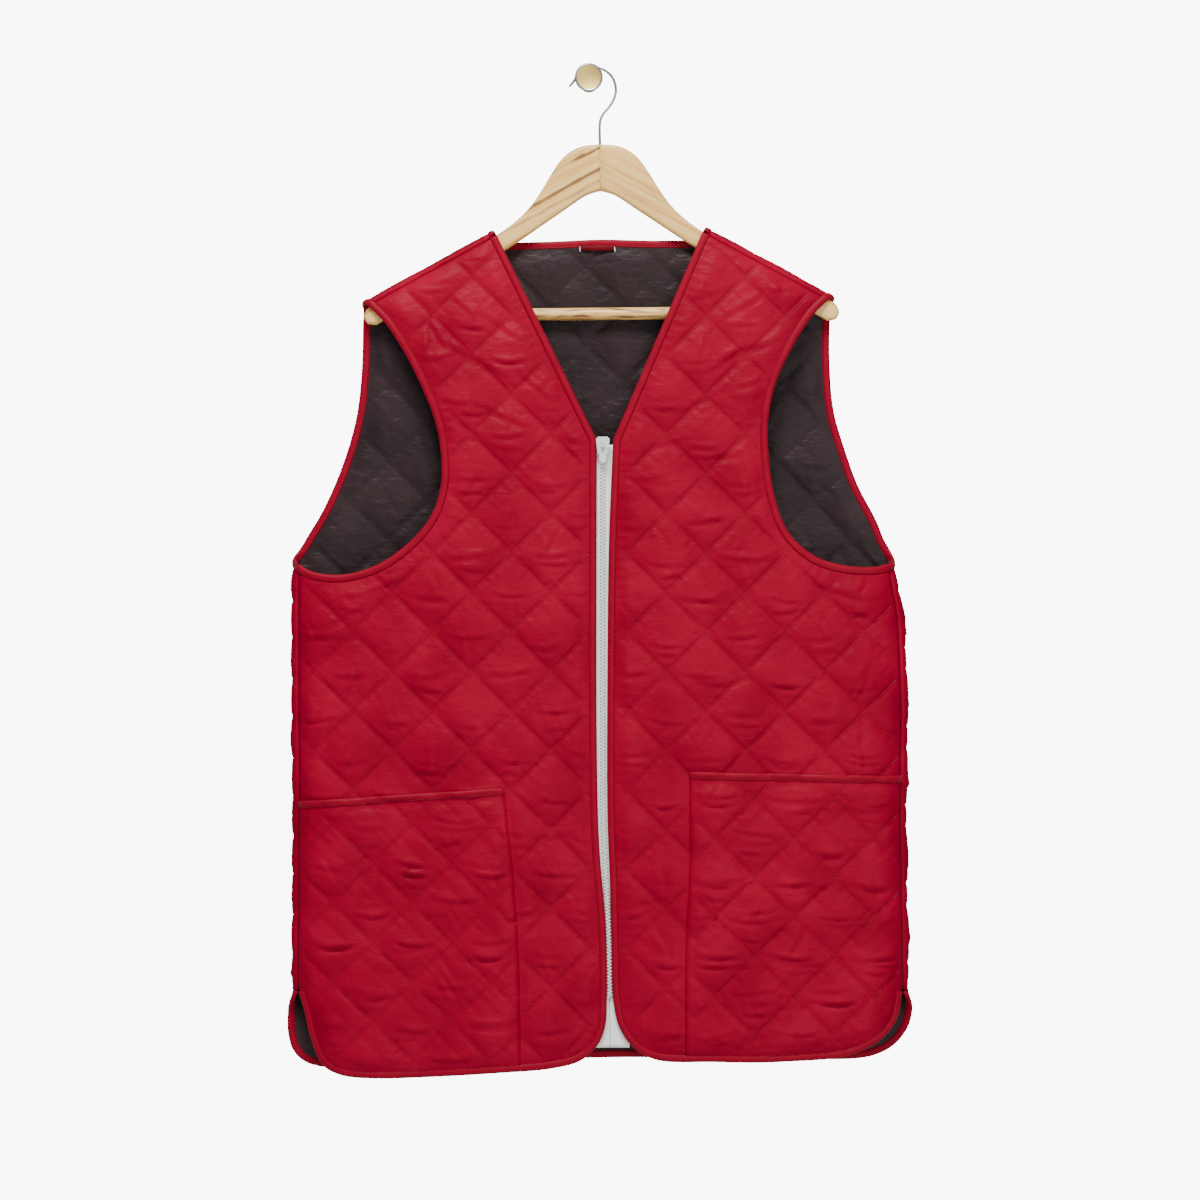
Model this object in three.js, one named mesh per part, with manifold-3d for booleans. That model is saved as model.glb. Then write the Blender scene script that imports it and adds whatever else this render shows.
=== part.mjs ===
// Diamond-quilted zip vest on a wooden hanger, hung on a wall peg. Millimetres, +Z up.
// The origin is the middle of the peg's flat back face, which lies on the wall.
// The wall is the plane y = 0, and the front of the vest faces -Y.
// Right and left are the wearer's, so the right front lies at -X.
import * as THREE from 'three';
import { mergeVertices } from 'three/addons/utils/BufferGeometryUtils.js';
import Module from 'manifold-3d';

const wasm = await Module();
wasm.setup();

// Place of the hanger: its centre line stands a little to one side of the peg
const HANGER_X = 10.3;
const HANGER_Y = -30;
const GAP = 0.3;

// Quilting: squares standing on a corner, sewn through shell, wadding and lining
const QUILT_DIAGONAL = 72.6;
const GRID = QUILT_DIAGONAL / 4;
const WALL = 1.6;
const PUFF = 3.4;
const PUFF_FADE = 18;
const LINING_FRONT = -0.7;
const LINING_BACK = -1.5;

// Bias binding folded over every free edge
const BINDING_WIDTH = 7;
const BINDING_SEAM = 0.4;
const LEAST_MITRE = 0.5;
const NECK_BINDING_TRIM = 1.3;
const BINDING_SECTION = [
  { inside: 0, up: 0.5 },
  { inside: 1.3, up: 2.5 },
  { inside: BINDING_WIDTH, up: 2.2 },
  { inside: BINDING_WIDTH, up: -1.6 },
  { inside: 1.3, up: -1.6 },
];

// How far each cut piece stays inside its edge, and how far apart points lie along an edge
const SEAM_INSET = GAP / 2;
const SIDE_SEAM_INSET = 0.4;
const BOUND_INSET = BINDING_WIDTH + BINDING_SEAM;
const TURNED_INSET = BINDING_WIDTH + 0.8;
const EDGE_STEP = 22;

// The back panel turns round each side and over each shoulder on this radius, to a seam on the front
const TURN_RADIUS = 8.8;
const TURN_ANGLE = THREE.MathUtils.degToRad(150);
const TURN_STEPS = 5;
const LINING_TURN_STEPS = 3;
const TURN_LENGTH = TURN_RADIUS * TURN_ANGLE;
const SEAM_RISE = TURN_RADIUS * Math.sin(TURN_ANGLE);
const SEAM_DEPTH = -TURN_RADIUS * Math.cos(TURN_ANGLE);
const TURN_TO_OUTSIDE = TURN_RADIUS + 3.2;
const RIDGE_TO_TURN = TURN_RADIUS + 2.2;
const FLAT_HALF = 272;
const TIP_ROUNDING = 6;
const TURN_SHARES = [1, 0.8, 0.6, 0.4, 0.2];
const TURN_SPLITS = [0.5, 0, 0.25, 0.75];
const TURN_OVERRUN = 2;
const SHOULDER_PRESS = 0.7;
const SHOULDER_PRESS_REACH = 24;

// Shoulder ridges: the neck end of each and its slope
const RIDGES = {
  '-1': { x: -98.4, z: -139.1, slope: THREE.MathUtils.degToRad(28.8) },
  '1': { x: 97.5, z: -136.3, slope: THREE.MathUtils.degToRad(28.3) },
};

// Half widths of the outline to each side, and how far front and back stand off the hanger's plane
const BODY = [
  { z: -140, right: 284, left: 284, front: 4, back: 0 },
  { z: -300, right: 284, left: 284, front: 12, back: 3 },
  { z: -441, right: 285.2, left: 273.5, front: 15, back: 5 },
  { z: -500, right: 285.4, left: 281.5, front: 15.5, back: 5 },
  { z: -585, right: 285.2, left: 285, front: 16, back: 5 },
  { z: -680, right: 284.6, left: 283.6, front: 16, back: 6 },
  { z: -830, right: 285.2, left: 286, front: 15, back: 5 },
  { z: -925, right: 286, left: 287, front: 14, back: 4 },
];
const FRONT_ROUNDING = 26;
const BACK_ROUNDING = 90;
const ROUNDING_BLEND = 15;
const ROUNDING_OUTSIDE = -4;

// Below the vents the back's side edges open out from a tight turn to a wide one
const VENT_TOP = -842;
const VENT_OPENED = -900;
const VENT_RADIUS = 42;

// Soft hanging folds that run down the body: wave lengths and heights
const FOLDS = [
  { across: 196, lean: 0.1, phase: 0.6, height: 1.9 },
  { across: 88, lean: -0.22, phase: 2.1, height: 0.8 },
];
const BACK_FOLDS = { shift: 40, share: 0.6 };
const FOLDS_START = -260;
const FOLDS_FULL = -640;

// Outlines, as seen from the front
const RIGHT_ARMHOLE = [
  { x: -213.9, z: -210.4 },
  { x: -198, z: -226.5 },
  { x: -178.3, z: -257 },
  { x: -162.5, z: -289 },
  { x: -151.5, z: -318 },
  { x: -146.2, z: -347 },
  { x: -146.6, z: -378 },
  { x: -156, z: -405 },
  { x: -174, z: -427 },
  { x: -204, z: -448.5 },
  { x: -238, z: -457.8 },
  { x: -266, z: -454.5 },
  { x: -280.8, z: -447.6 },
];
const LEFT_ARMHOLE = [
  { x: 210.6, z: -204.6 },
  { x: 196.4, z: -218.8 },
  { x: 176.4, z: -250 },
  { x: 160.6, z: -286 },
  { x: 154.8, z: -315 },
  { x: 154.8, z: -345 },
  { x: 160, z: -384 },
  { x: 173, z: -418.5 },
  { x: 197, z: -440.6 },
  { x: 226, z: -449.6 },
  { x: 253, z: -450.6 },
  { x: 270.4, z: -447.6 },
];
const RIGHT_HEM = [
  { x: -276.6, z: VENT_TOP },
  { x: -271.6, z: -862 },
  { x: -266.4, z: -884 },
  { x: -255, z: -909 },
  { x: -238, z: -918 },
  { x: -198, z: -921 },
  { x: -98, z: -916 },
  { x: -45, z: -911.6 },
  { x: -18, z: -904.5 },
  { x: -2.6, z: -891 },
  { x: 4.8, z: -873 },
  { x: 6.4, z: -846 },
  { x: 5.4, z: -781 },
  { x: -0.6, z: -706 },
  { x: -2.8, z: -620 },
  { x: -2.9, z: -334.2 },
];
const LEFT_HEM = [
  { x: 279, z: VENT_TOP },
  { x: 273, z: -868 },
  { x: 257, z: -887 },
  { x: 226, z: -900.5 },
  { x: 166, z: -905.6 },
  { x: 105, z: -905.6 },
  { x: 52, z: -903.8 },
  { x: 31, z: -893 },
  { x: 17.4, z: -873 },
  { x: 11.8, z: -846 },
  { x: 10.4, z: -800 },
  { x: 9, z: -742 },
  { x: 6.8, z: -681 },
  { x: 6.6, z: -573 },
  { x: 8.2, z: -426 },
  { x: 12, z: -334.2 },
];
const BACK_ARMHOLES = {
  '-1': [
    { x: -219.6, z: -226 },
    { x: -220.4, z: -263 },
    { x: -225.4, z: -310 },
    { x: -236.6, z: -351 },
    { x: -254.4, z: -394 },
    { x: -270, z: -421 },
    { x: -281, z: -436 },
  ],
  '1': [
    { x: 213.4, z: -219 },
    { x: 213, z: -268 },
    { x: 216.8, z: -307 },
    { x: 225.6, z: -338 },
    { x: 238.4, z: -374 },
    { x: 256, z: -408 },
    { x: 266, z: -429 },
  ],
};
const BACK_NECK = [
  { x: -91.6, z: -148.8 },
  { x: -56, z: -149.6 },
  { x: 0, z: -147.4 },
  { x: 56, z: -148.4 },
  { x: 91.2, z: -146.2 },
];
const UNDERARM = { z: -447.6, turn: 0.55, rise: 6 };
const BACK_HEM = [
  { side: -1, around: TURN_LENGTH - 0.6, z: VENT_TOP },
  { side: -1, around: TURN_LENGTH - 2.6, z: -848 },
  { side: -1, around: 18, z: -855 },
  { side: -1, around: 16.6, z: -864 },
  { side: -1, around: 15.6, z: -880 },
  { side: -1, around: 11, z: -897 },
  { side: -1, around: 0, z: -908.5 },
  { side: -1, around: -24, z: -914.6 },
  { side: -1, around: -120, z: -911 },
  { side: 1, around: -272, z: -905.5 },
  { side: 1, around: -120, z: -906.5 },
  { side: 1, around: -36, z: -906 },
  { side: 1, around: -18, z: -902 },
  { side: 1, around: -2, z: -893 },
  { side: 1, around: 10, z: -878 },
  { side: 1, around: 15, z: -864 },
  { side: 1, around: 17.6, z: -855 },
  { side: 1, around: TURN_LENGTH - 2.6, z: -848 },
  { side: 1, around: TURN_LENGTH - 0.6, z: VENT_TOP },
];

// Patch pockets: the mouth's two ends, then the free edge down to the hem
const POCKETS = {
  right: {
    outerTop: { x: -300, z: -668 },
    edge: [{ x: -88, z: -653.2 }, { x: -80, z: -728 }, { x: -74.6, z: -812 }, { x: -72.6, z: -940 }],
  },
  left: {
    outerTop: { x: 300, z: -643.4 },
    edge: [{ x: 82.2, z: -638.6 }, { x: 81.9, z: -742 }, { x: 79.2, z: -784 }, { x: 78, z: -940 }],
  },
};
const POCKET_BAND = 7.8;
const POCKET_CLEAR = 0.5;
const POCKET_WALL = 1.4;
const POCKET_PUFF = 2.4;
const POCKET_BAND_WALL = 2;

// Where a quilting crossing lies on each panel
const LATTICES = {
  right: { x: -117.8, z: -475 },
  left: { x: 60.7, z: -475.8 },
  back: { x: -14.3, z: -244.4 },
};

// Closed end-to-end zip: the middle of the chain, and the pieces across it
const ZIP_LINE = [
  { z: -300, x: 2.6 },
  { z: -665, x: 2.3 },
  { z: -722, x: 4.4 },
  { z: -781, x: 7.7 },
  { z: -846, x: 9.1 },
  { z: -930, x: 9.6 },
];
const ZIP_STEP = 28;
const TAPE_TOP = -338.5;
const TAPE_END = -893;
const TAPE_WIDTH = 17.5;
const TAPE_LEVEL = -5.2;
const TAPE_THICKNESS = 1;
const CHAIN_TOP = -342;
const CHAIN_END = -846;
const CHAIN_WIDTH = 5.6;
const CHAIN_LEVEL = -3.9;
const CHAIN_THICKNESS = 2;
const SLIDER = {
  top: -331.5,
  length: 16,
  topWidth: 12.6,
  endWidth: 9.6,
  corner: 2,
  plate: 1.7,
  block: 8,
  blockTaper: 1.4,
  rearNarrower: 1,
  neck: 5,
  neckWidth: 6,
  neckInset: 0.5,
  overlap: 1,
};
const SLIDER_OVER_CHAIN = -1.6;
const SLIDER_OVER_BINDING = 2.8;
const BAIL = { top: -333.8, length: 8.4, rise: 3.9, bar: 1.2, width: 2 };
const PULL = { width: 6.4, length: 16, thickness: 1.3, corner: 1, hole: 3.2, holeLength: 5.6, eyeBar: 1.3 };

// Wooden hanger, its hook and the peg
const WOOD_THICKNESS = 11;
const WOOD_ROUNDING = 3.5;
const WOOD_ROUNDING_STEPS = 2;
const WOOD_TILT = THREE.MathUtils.degToRad(0.55);
const WOOD_TOP = [
  { x: 0, z: -60.6 },
  { x: 16, z: -62 },
  { x: 27, z: -66.8 },
  { x: 35.5, z: -73.8 },
  { x: 45.5, z: -88 },
  { x: 56, z: -105 },
  { x: 66, z: -118.6 },
  { x: 78, z: -130.2 },
  { x: 95.4, z: -142.8 },
  { x: 209, z: -205.1 },
  { x: 217, z: -211.2 },
  { x: 219.4, z: -218 },
  { x: 216, z: -224.2 },
  { x: 208, z: -225.2 },
];
const WOOD_UNDER = [
  { x: 93, z: -160.4 },
  { x: 73.6, z: -148 },
  { x: 35, z: -122 },
  { x: 12, z: -107 },
  { x: 0, z: -103.6 },
];
const BAR_RADIUS = 5.75;
const BAR_HALF = 178;
const BAR_Z = -217;
const TENON_RADIUS = 2.5;
const TENON_LENGTH = 24;
const WIRE_RADIUS = 1.25;
const HOOK_DEPTH = 12;
const HOOK_STRAIGHT = -56;
const BORE_EXTRA = 1;
const GLUE_LINE_LENGTH = 200;
const HOOK_PATH = [
  { x: 0, z: -40 },
  { x: 2.6, z: -33 },
  { x: 9.2, z: -25 },
  { x: 13.6, z: -16.6 },
  { x: 14.6, z: -8 },
  { x: 11.2, z: 1.8 },
  { x: 3.4, z: 8.6 },
  { x: -6.4, z: 11 },
  { x: -15, z: 9 },
  { x: -20.6, z: 3.6 },
  { x: -24.4, z: -2.4 },
  { x: -28.4, z: -7.4 },
];
const PEG = { shank: 8.8, neckLength: 38, head: 13, headLength: 7, rounding: 1.6 };
const ROUND_SIDES = 16;
const PEG_SIDES = 24;
const WIRE_SIDES = 8;
const HOOK_STEPS = 44;

// Loop for a coat hook, sewn below the back neck
const LOOP = { from: -20, to: 14, top: -152.8, height: 4.6, thickness: 1.6, level: -2, bow: 1.4, steps: 8 };

const SHELL = new THREE.MeshStandardMaterial({ color: 0xa81a2e, roughness: 0.55, metalness: 0 });
const TRIM = new THREE.MeshStandardMaterial({ color: 0xb0152a, roughness: 0.6, metalness: 0 });
const LINING = new THREE.MeshStandardMaterial({ color: 0x3e3234, roughness: 0.6, metalness: 0 });
const TAPE = new THREE.MeshStandardMaterial({ color: 0xf3f3f1, roughness: 0.8, metalness: 0 });
const SLIDER_METAL = new THREE.MeshStandardMaterial({ color: 0xd8d8d8, roughness: 0.35, metalness: 0.6 });
const WOOD = new THREE.MeshStandardMaterial({ color: 0xe0c08c, roughness: 0.5, metalness: 0 });
const STEEL = new THREE.MeshStandardMaterial({ color: 0xb9babc, roughness: 0.25, metalness: 1 });
const BRASS = new THREE.MeshStandardMaterial({ color: 0xd5c78d, roughness: 0.4, metalness: 0.7 });

// Limits of the working-out: the sine of the least turn taken as a corner, the area under which three
// points count as straight, how close grid lines come to a turn, and how far apart merged points lie
const LEAST_CORNER = 0.12;
const LEAST_STEPPED_CORNER = 0.6;
const STRAIGHT_AREA = 0.02;
const LINE_CLEAR = 4;
const MERGE_WITHIN = 1e-5;
const SPLIT_WITHIN = 0.05;

// A slight dish keeps the flat faces' grid through the cutting, and is taken off afterwards
const DISH = 1e-4;
const DISH_MIDDLE = -500;
const PRISM_DEPTH = 200;

const smooth = (low, high, value) => THREE.MathUtils.smoothstep(value, low, high);
const softMin = (a, b, blend) => -blend * Math.log(Math.exp(-a / blend) + Math.exp(-b / blend));

// A column of a table whose rows run downwards in z, read smoothly between its rows
function atHeight(rows, column, z) {
  const last = rows.length - 1;
  if (z >= rows[0].z) return rows[0][column];
  if (z <= rows[last].z) return rows[last][column];
  const i = rows.findIndex((row) => row.z < z) - 1;
  const slopeAt = (k) => {
    const above = rows[Math.max(0, k - 1)];
    const below = rows[Math.min(last, k + 1)];
    return (below[column] - above[column]) / (below.z - above.z);
  };
  const span = rows[i + 1].z - rows[i].z;
  const t = (z - rows[i].z) / span;
  const rise = t * t * (3 - 2 * t);
  return rows[i][column] * (1 - rise) + rows[i + 1][column] * rise
    + span * (slopeAt(i) * t * (1 - t) * (1 - t) - slopeAt(i + 1) * t * t * (1 - t));
}

// Where the back panel starts to turn round the side
function turnStart(side, z) {
  return atHeight(BODY, side < 0 ? 'right' : 'left', z) - TURN_TO_OUTSIDE;
}

// How far a point lies beyond the line where the back starts to turn over the shoulder
function overShoulder(side, x, z) {
  const ridge = RIDGES[side];
  const across = (x - ridge.x) * side * Math.sin(ridge.slope);
  return across + (z - ridge.z) * Math.cos(ridge.slope) + RIDGE_TO_TURN;
}

function foldDepth(x, z) {
  const strength = smooth(-FOLDS_START, -FOLDS_FULL, -z);
  let depth = 0;
  for (const fold of FOLDS) {
    depth += fold.height * Math.sin((2 * Math.PI * (x + fold.lean * z)) / fold.across + fold.phase);
  }
  return strength * depth;
}

const sideOf = (x) => (x < 0 ? -1 : 1);

// Inner face of the fronts, as a depth over the plane of the hanger
function frontDepth(x, z) {
  const side = sideOf(x);
  const toSide = turnStart(side, z) + SEAM_RISE - Math.abs(x);
  const toShoulder = SEAM_RISE - overShoulder(side, x, z);
  const inside = Math.max(softMin(toSide, toShoulder, ROUNDING_BLEND), ROUNDING_OUTSIDE);
  const rounding = 1 - Math.exp(-inside / FRONT_ROUNDING);
  return -SEAM_DEPTH - rounding * (atHeight(BODY, 'front', z) + foldDepth(x, z));
}

// Inner face of the back
function backDepth(x, z) {
  const side = sideOf(x);
  const inside = softMin(turnStart(side, z) - Math.abs(x), -overShoulder(side, x, z), ROUNDING_BLEND);
  const rounding = smooth(0, BACK_ROUNDING, inside);
  const folds = foldDepth(x + BACK_FOLDS.shift, z) * BACK_FOLDS.share;
  return TURN_RADIUS + rounding * (atHeight(BODY, 'back', z) + folds);
}

// A point of a sheet at a depth given by a function, moved out by some height along its normal
function offSheet(depth, facing, x, z, height) {
  const reach = 0.5;
  const normal = new THREE.Vector3(
    (depth(x + reach, z) - depth(x - reach, z)) / (2 * reach),
    -1,
    (depth(x, z + reach) - depth(x, z - reach)) / (2 * reach),
  );
  normal.normalize().multiplyScalar(-facing * height);
  return new THREE.Vector3(x, depth(x, z), z).add(normal);
}

const frontPoint = (x, z, height) => offSheet(frontDepth, -1, x, z, height);

// The back panel laid out flat, with the part beyond each turn at its true length
function backPoint(along, z, height) {
  const side = sideOf(along);
  const over = overShoulder(side, along, z);
  if (over > 0) {
    const ridge = RIDGES[side];
    const up = new THREE.Vector3(side * Math.sin(ridge.slope), 0, Math.cos(ridge.slope));
    const angle = over / TURN_RADIUS;
    const reach = (TURN_RADIUS + height) * Math.sin(angle);
    const point = new THREE.Vector3(along, 0, z).addScaledVector(up, reach - over);
    point.y = (TURN_RADIUS + height) * Math.cos(angle);
    return point;
  }
  const start = turnStart(side, z);
  const around = Math.abs(along) - FLAT_HALF;
  if (around > 0) {
    const opened = smooth(-VENT_TOP, -VENT_OPENED, -z);
    const radius = TURN_RADIUS + (VENT_RADIUS - TURN_RADIUS) * opened;
    const angle = around / radius;
    const out = start + (radius + height) * Math.sin(angle);
    return new THREE.Vector3(side * out, TURN_RADIUS - radius + (radius + height) * Math.cos(angle), z);
  }
  return offSheet(backDepth, 1, (along * start) / FLAT_HALF, z, height);
}

// Place on the flat back panel of a point seen from the front
function flatBack(x, z) {
  const side = sideOf(x);
  const start = turnStart(side, z);
  const beyond = Math.abs(x) - start;
  if (beyond <= 0) return new THREE.Vector2((x * FLAT_HALF) / start, z);
  return new THREE.Vector2(side * (FLAT_HALF + TURN_RADIUS * Math.asin(beyond / TURN_TO_OUTSIDE)), z);
}

// Place on the flat back panel of a point along a shoulder and over its turn
function flatShoulder(side, along, over) {
  const ridge = RIDGES[side];
  const cos = Math.cos(ridge.slope);
  const sin = Math.sin(ridge.slope);
  const rise = over - RIDGE_TO_TURN;
  const across = side * (along * cos + rise * sin);
  return new THREE.Vector2(ridge.x + across, ridge.z - along * sin + rise * cos);
}

const flat = (row) => new THREE.Vector2(row.x, row.z);

// Smooth curve through a table's points, with more points where the table's lie far apart
function curveThrough(points, step) {
  const through = points.map((p) => new THREE.Vector3(p.x, p.y, 0));
  const curve = new THREE.CatmullRomCurve3(through, false, 'centripetal');
  const last = points.length - 1;
  const run = [points[0].clone()];
  for (let i = 0; i < last; i++) {
    const pieces = Math.max(1, Math.round(points[i].distanceTo(points[i + 1]) / step));
    for (let k = 1; k <= pieces; k++) {
      const p = curve.getPoint((i + k / pieces) / last);
      run.push(new THREE.Vector2(p.x, p.y));
    }
  }
  return run;
}

function straight(from, to, step) {
  const count = Math.max(1, Math.ceil(from.distanceTo(to) / step));
  return Array.from({ length: count + 1 }, (_, i) => from.clone().lerp(to, i / count));
}

// The area inside a closed run of points, positive where they run anticlockwise
const areaOf = (points) => THREE.ShapeUtils.area(points);

// Joins edges end to end, keeping for each stretch how far the cloth stays inside it
function outlineOf(edges) {
  const points = [];
  const insets = [];
  for (const edge of edges) {
    for (let i = 0; i < edge.points.length - 1; i++) {
      points.push(edge.points[i]);
      insets.push(edge.inset);
    }
  }
  if (areaOf(points) < 0) {
    points.reverse();
    insets.reverse();
    insets.push(insets.shift());
  }
  return { points, insets };
}

const inwardOf = (a, b) => new THREE.Vector2(a.y - b.y, b.x - a.x).normalize();

// The outline moved inwards by each stretch's own inset
function cutLine(outline) {
  const { points, insets } = outline;
  const count = points.length;
  const cut = [];
  for (let i = 0; i < count; i++) {
    const before = points[(i + count - 1) % count];
    const here = points[i];
    const after = points[(i + 1) % count];
    const n1 = inwardOf(before, here);
    const n2 = inwardOf(here, after);
    const d1 = insets[(i + count - 1) % count];
    const d2 = insets[i];
    const cross = n1.x * n2.y - n1.y * n2.x;
    if (Math.abs(cross) > (d1 === d2 ? LEAST_CORNER : LEAST_STEPPED_CORNER)) {
      cut.push(new THREE.Vector2(
        here.x + (d1 * n2.y - d2 * n1.y) / cross,
        here.y + (d2 * n1.x - d1 * n2.x) / cross,
      ));
    } else if (d1 === d2) {
      cut.push(here.clone().addScaledVector(n1.clone().add(n2).normalize(), d1));
    } else {
      cut.push(here.clone().addScaledVector(n1, d1), here.clone().addScaledVector(n2, d2));
    }
  }
  return cut;
}

function distanceToLine(points, x, y) {
  let nearest = Infinity;
  for (let i = 0; i < points.length; i++) {
    const a = points[i];
    const b = points[(i + 1) % points.length];
    const dx = b.x - a.x;
    const dy = b.y - a.y;
    const share = THREE.MathUtils.clamp(((x - a.x) * dx + (y - a.y) * dy) / (dx * dx + dy * dy), 0, 1);
    nearest = Math.min(nearest, Math.hypot(x - a.x - dx * share, y - a.y - dy * share));
  }
  return nearest;
}

// From 0 on a quilting line to 1 in the middle of a square
function quiltHeight(lattice, x, z) {
  const a = (Math.PI * (x - lattice.x + z - lattice.z)) / QUILT_DIAGONAL;
  const b = (Math.PI * (x - lattice.x - z + lattice.z)) / QUILT_DIAGONAL;
  return Math.sqrt(Math.abs(Math.sin(a) * Math.sin(b)));
}

function solidOf(vertices, triangles) {
  return new wasm.Manifold(new wasm.Mesh({
    numProp: 3,
    vertProperties: new Float32Array(vertices),
    triVerts: new Uint32Array(triangles),
  }));
}

function solidFrom(geometry) {
  const bare = geometry.clone();
  bare.deleteAttribute('normal');
  bare.deleteAttribute('uv');
  const merged = mergeVertices(bare, MERGE_WITHIN);
  return solidOf(merged.attributes.position.array, merged.index.array);
}

function geometryFrom(solid) {
  const mesh = solid.getMesh();
  const geometry = new THREE.BufferGeometry();
  geometry.setAttribute('position', new THREE.BufferAttribute(new Float32Array(mesh.vertProperties), 3));
  geometry.setIndex(Array.from(mesh.triVerts));
  return geometry;
}

// A closed body from points and faces, turned so that its faces point out
function bodyOf(points, faces) {
  let volume = 0;
  for (const [a, b, c] of faces) {
    volume += points[a].dot(points[b].clone().cross(points[c]));
  }
  const index = faces.flatMap(([a, b, c]) => (volume < 0 ? [a, c, b] : [a, b, c]));
  const geometry = new THREE.BufferGeometry();
  geometry.setAttribute('position', new THREE.Float32BufferAttribute(points.flatMap((p) => p.toArray()), 3));
  geometry.setIndex(index);
  return geometry;
}

// Grid lines over a stretch, at the quilting's own spacing or every second one
function gridLines(start, low, high, stride) {
  const cell = GRID * 2;
  const first = Math.floor((low - start) / cell) * 2;
  const last = Math.ceil((high - start) / cell) * 2;
  const lines = [];
  for (let i = first; i <= last; i += stride) lines.push({ at: start + i * GRID, count: i });
  return lines;
}

// The same with the lines where the back turns round its sides, in place of those beyond them
function turningLines(start, steps) {
  const within = (line) => Math.abs(line.at) < FLAT_HALF - LINE_CLEAR;
  const lines = gridLines(start, -FLAT_HALF, FLAT_HALF, 2).filter(within);
  for (let k = 0; k <= steps; k++) {
    const out = FLAT_HALF + ((TURN_LENGTH + TURN_OVERRUN) * k) / steps;
    lines.push({ at: out, count: 1 });
    lines.unshift({ at: -out, count: 1 });
  }
  return lines;
}

// One face of a slab, with its triangles' long sides along the quilting
function gridFace(columns, rows, height, stride) {
  const vertices = [];
  const triangles = [];
  for (const row of rows) {
    for (const column of columns) {
      vertices.push(column.at, row.at, height(column.at, row.at) + dish(column.at, row.at));
    }
  }
  const wide = columns.length;
  for (let j = 0; j < rows.length - 1; j++) {
    for (let i = 0; i < wide - 1; i++) {
      const corners = [j * wide + i, j * wide + i + 1, (j + 1) * wide + i + 1, (j + 1) * wide + i];
      const falling = (columns[i].count + rows[j].count + stride) % 4 === 0;
      const order = falling ? [0, 1, 3, 1, 2, 3] : [0, 1, 2, 0, 2, 3];
      triangles.push(order.map((k) => corners[k]));
    }
  }
  const rim = [];
  for (let i = 0; i < wide - 1; i++) rim.push(i);
  for (let j = 0; j < rows.length - 1; j++) rim.push((j + 1) * wide - 1);
  for (let i = wide - 1; i > 0; i--) rim.push((rows.length - 1) * wide + i);
  for (let j = rows.length - 1; j > 0; j--) rim.push(j * wide);
  return { vertices, triangles: triangles.flat(), rim };
}

// A flat slab between two such faces; the rim is only there to close it, and is cut off
function gridSlab(outer, inner) {
  const offset = outer.vertices.length / 3;
  const triangles = outer.triangles.slice();
  for (let k = 0; k < inner.triangles.length; k += 3) {
    const [a, b, c] = inner.triangles.slice(k, k + 3);
    triangles.push(a + offset, c + offset, b + offset);
  }
  const vertices = [...outer.vertices, ...inner.vertices];
  const travelled = (face, k, base) => {
    const here = face.rim[k % face.rim.length] + base;
    return { here, x: vertices[here * 3], z: vertices[here * 3 + 1] };
  };
  const apart = (a, b) => Math.hypot(a.x - b.x, a.z - b.z);
  let top = 0;
  let under = 0;
  while (top < outer.rim.length || under < inner.rim.length) {
    const a = travelled(outer, top, 0);
    const b = travelled(inner, under, offset);
    const nextTop = travelled(outer, top + 1, 0);
    const nextUnder = travelled(inner, under + 1, offset);
    const stepTop = top < outer.rim.length
      && (under >= inner.rim.length || apart(nextTop, b) <= apart(nextUnder, a));
    if (stepTop) {
      triangles.push(b.here, nextTop.here, a.here);
      top += 1;
    } else {
      triangles.push(b.here, nextUnder.here, a.here);
      under += 1;
    }
  }
  return solidOf(vertices, triangles);
}

const dish = (x, z) => DISH * (x * x + (z - DISH_MIDDLE) * (z - DISH_MIDDLE));

// The corners of a line, without the points that lie straight between two others
function cornersOf(line) {
  return line.filter((here, i) => {
    const before = line[(i + line.length - 1) % line.length];
    const after = line[(i + 1) % line.length];
    return Math.abs(areaOf([before, here, after])) > STRAIGHT_AREA;
  });
}

function prismOf(line) {
  const shape = new THREE.Shape(cornersOf(line));
  const sizes = { depth: PRISM_DEPTH, bevelEnabled: false, curveSegments: 1 };
  const geometry = new THREE.ExtrudeGeometry(shape, sizes);
  geometry.translate(0, 0, -PRISM_DEPTH / 4);
  return solidFrom(geometry);
}

// Splits faces along the lines where a distance function is zero, so that a turn bends cleanly
function splitAlong(sheet, distance) {
  const levels = sheet.points.map((p) => {
    const value = distance(p.x, p.y);
    return Math.abs(value) < SPLIT_WITHIN ? 0 : value;
  });
  const made = new Map();
  const crossing = (a, b) => {
    const key = a < b ? `${a},${b}` : `${b},${a}`;
    if (!made.has(key)) {
      const share = levels[a] / (levels[a] - levels[b]);
      made.set(key, sheet.points.length);
      sheet.points.push(sheet.points[a].clone().lerp(sheet.points[b], share));
    }
    return made.get(key);
  };
  const faces = [];
  for (const face of sheet.faces) {
    const k = [0, 1, 2].find((n) => levels[face[n]] * levels[face[(n + 1) % 3]] < 0
      && levels[face[n]] * levels[face[(n + 2) % 3]] <= 0 && levels[face[n]] !== 0);
    if (k === undefined) {
      faces.push(face);
      continue;
    }
    const [a, b, c] = [face[k], face[(k + 1) % 3], face[(k + 2) % 3]];
    const ab = crossing(a, b);
    if (levels[c] === 0) {
      faces.push([a, ab, c], [ab, b, c]);
    } else {
      const ac = crossing(a, c);
      faces.push([a, ab, ac], [ab, b, c], [ab, c, ac]);
    }
  }
  sheet.faces = faces;
}

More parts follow.
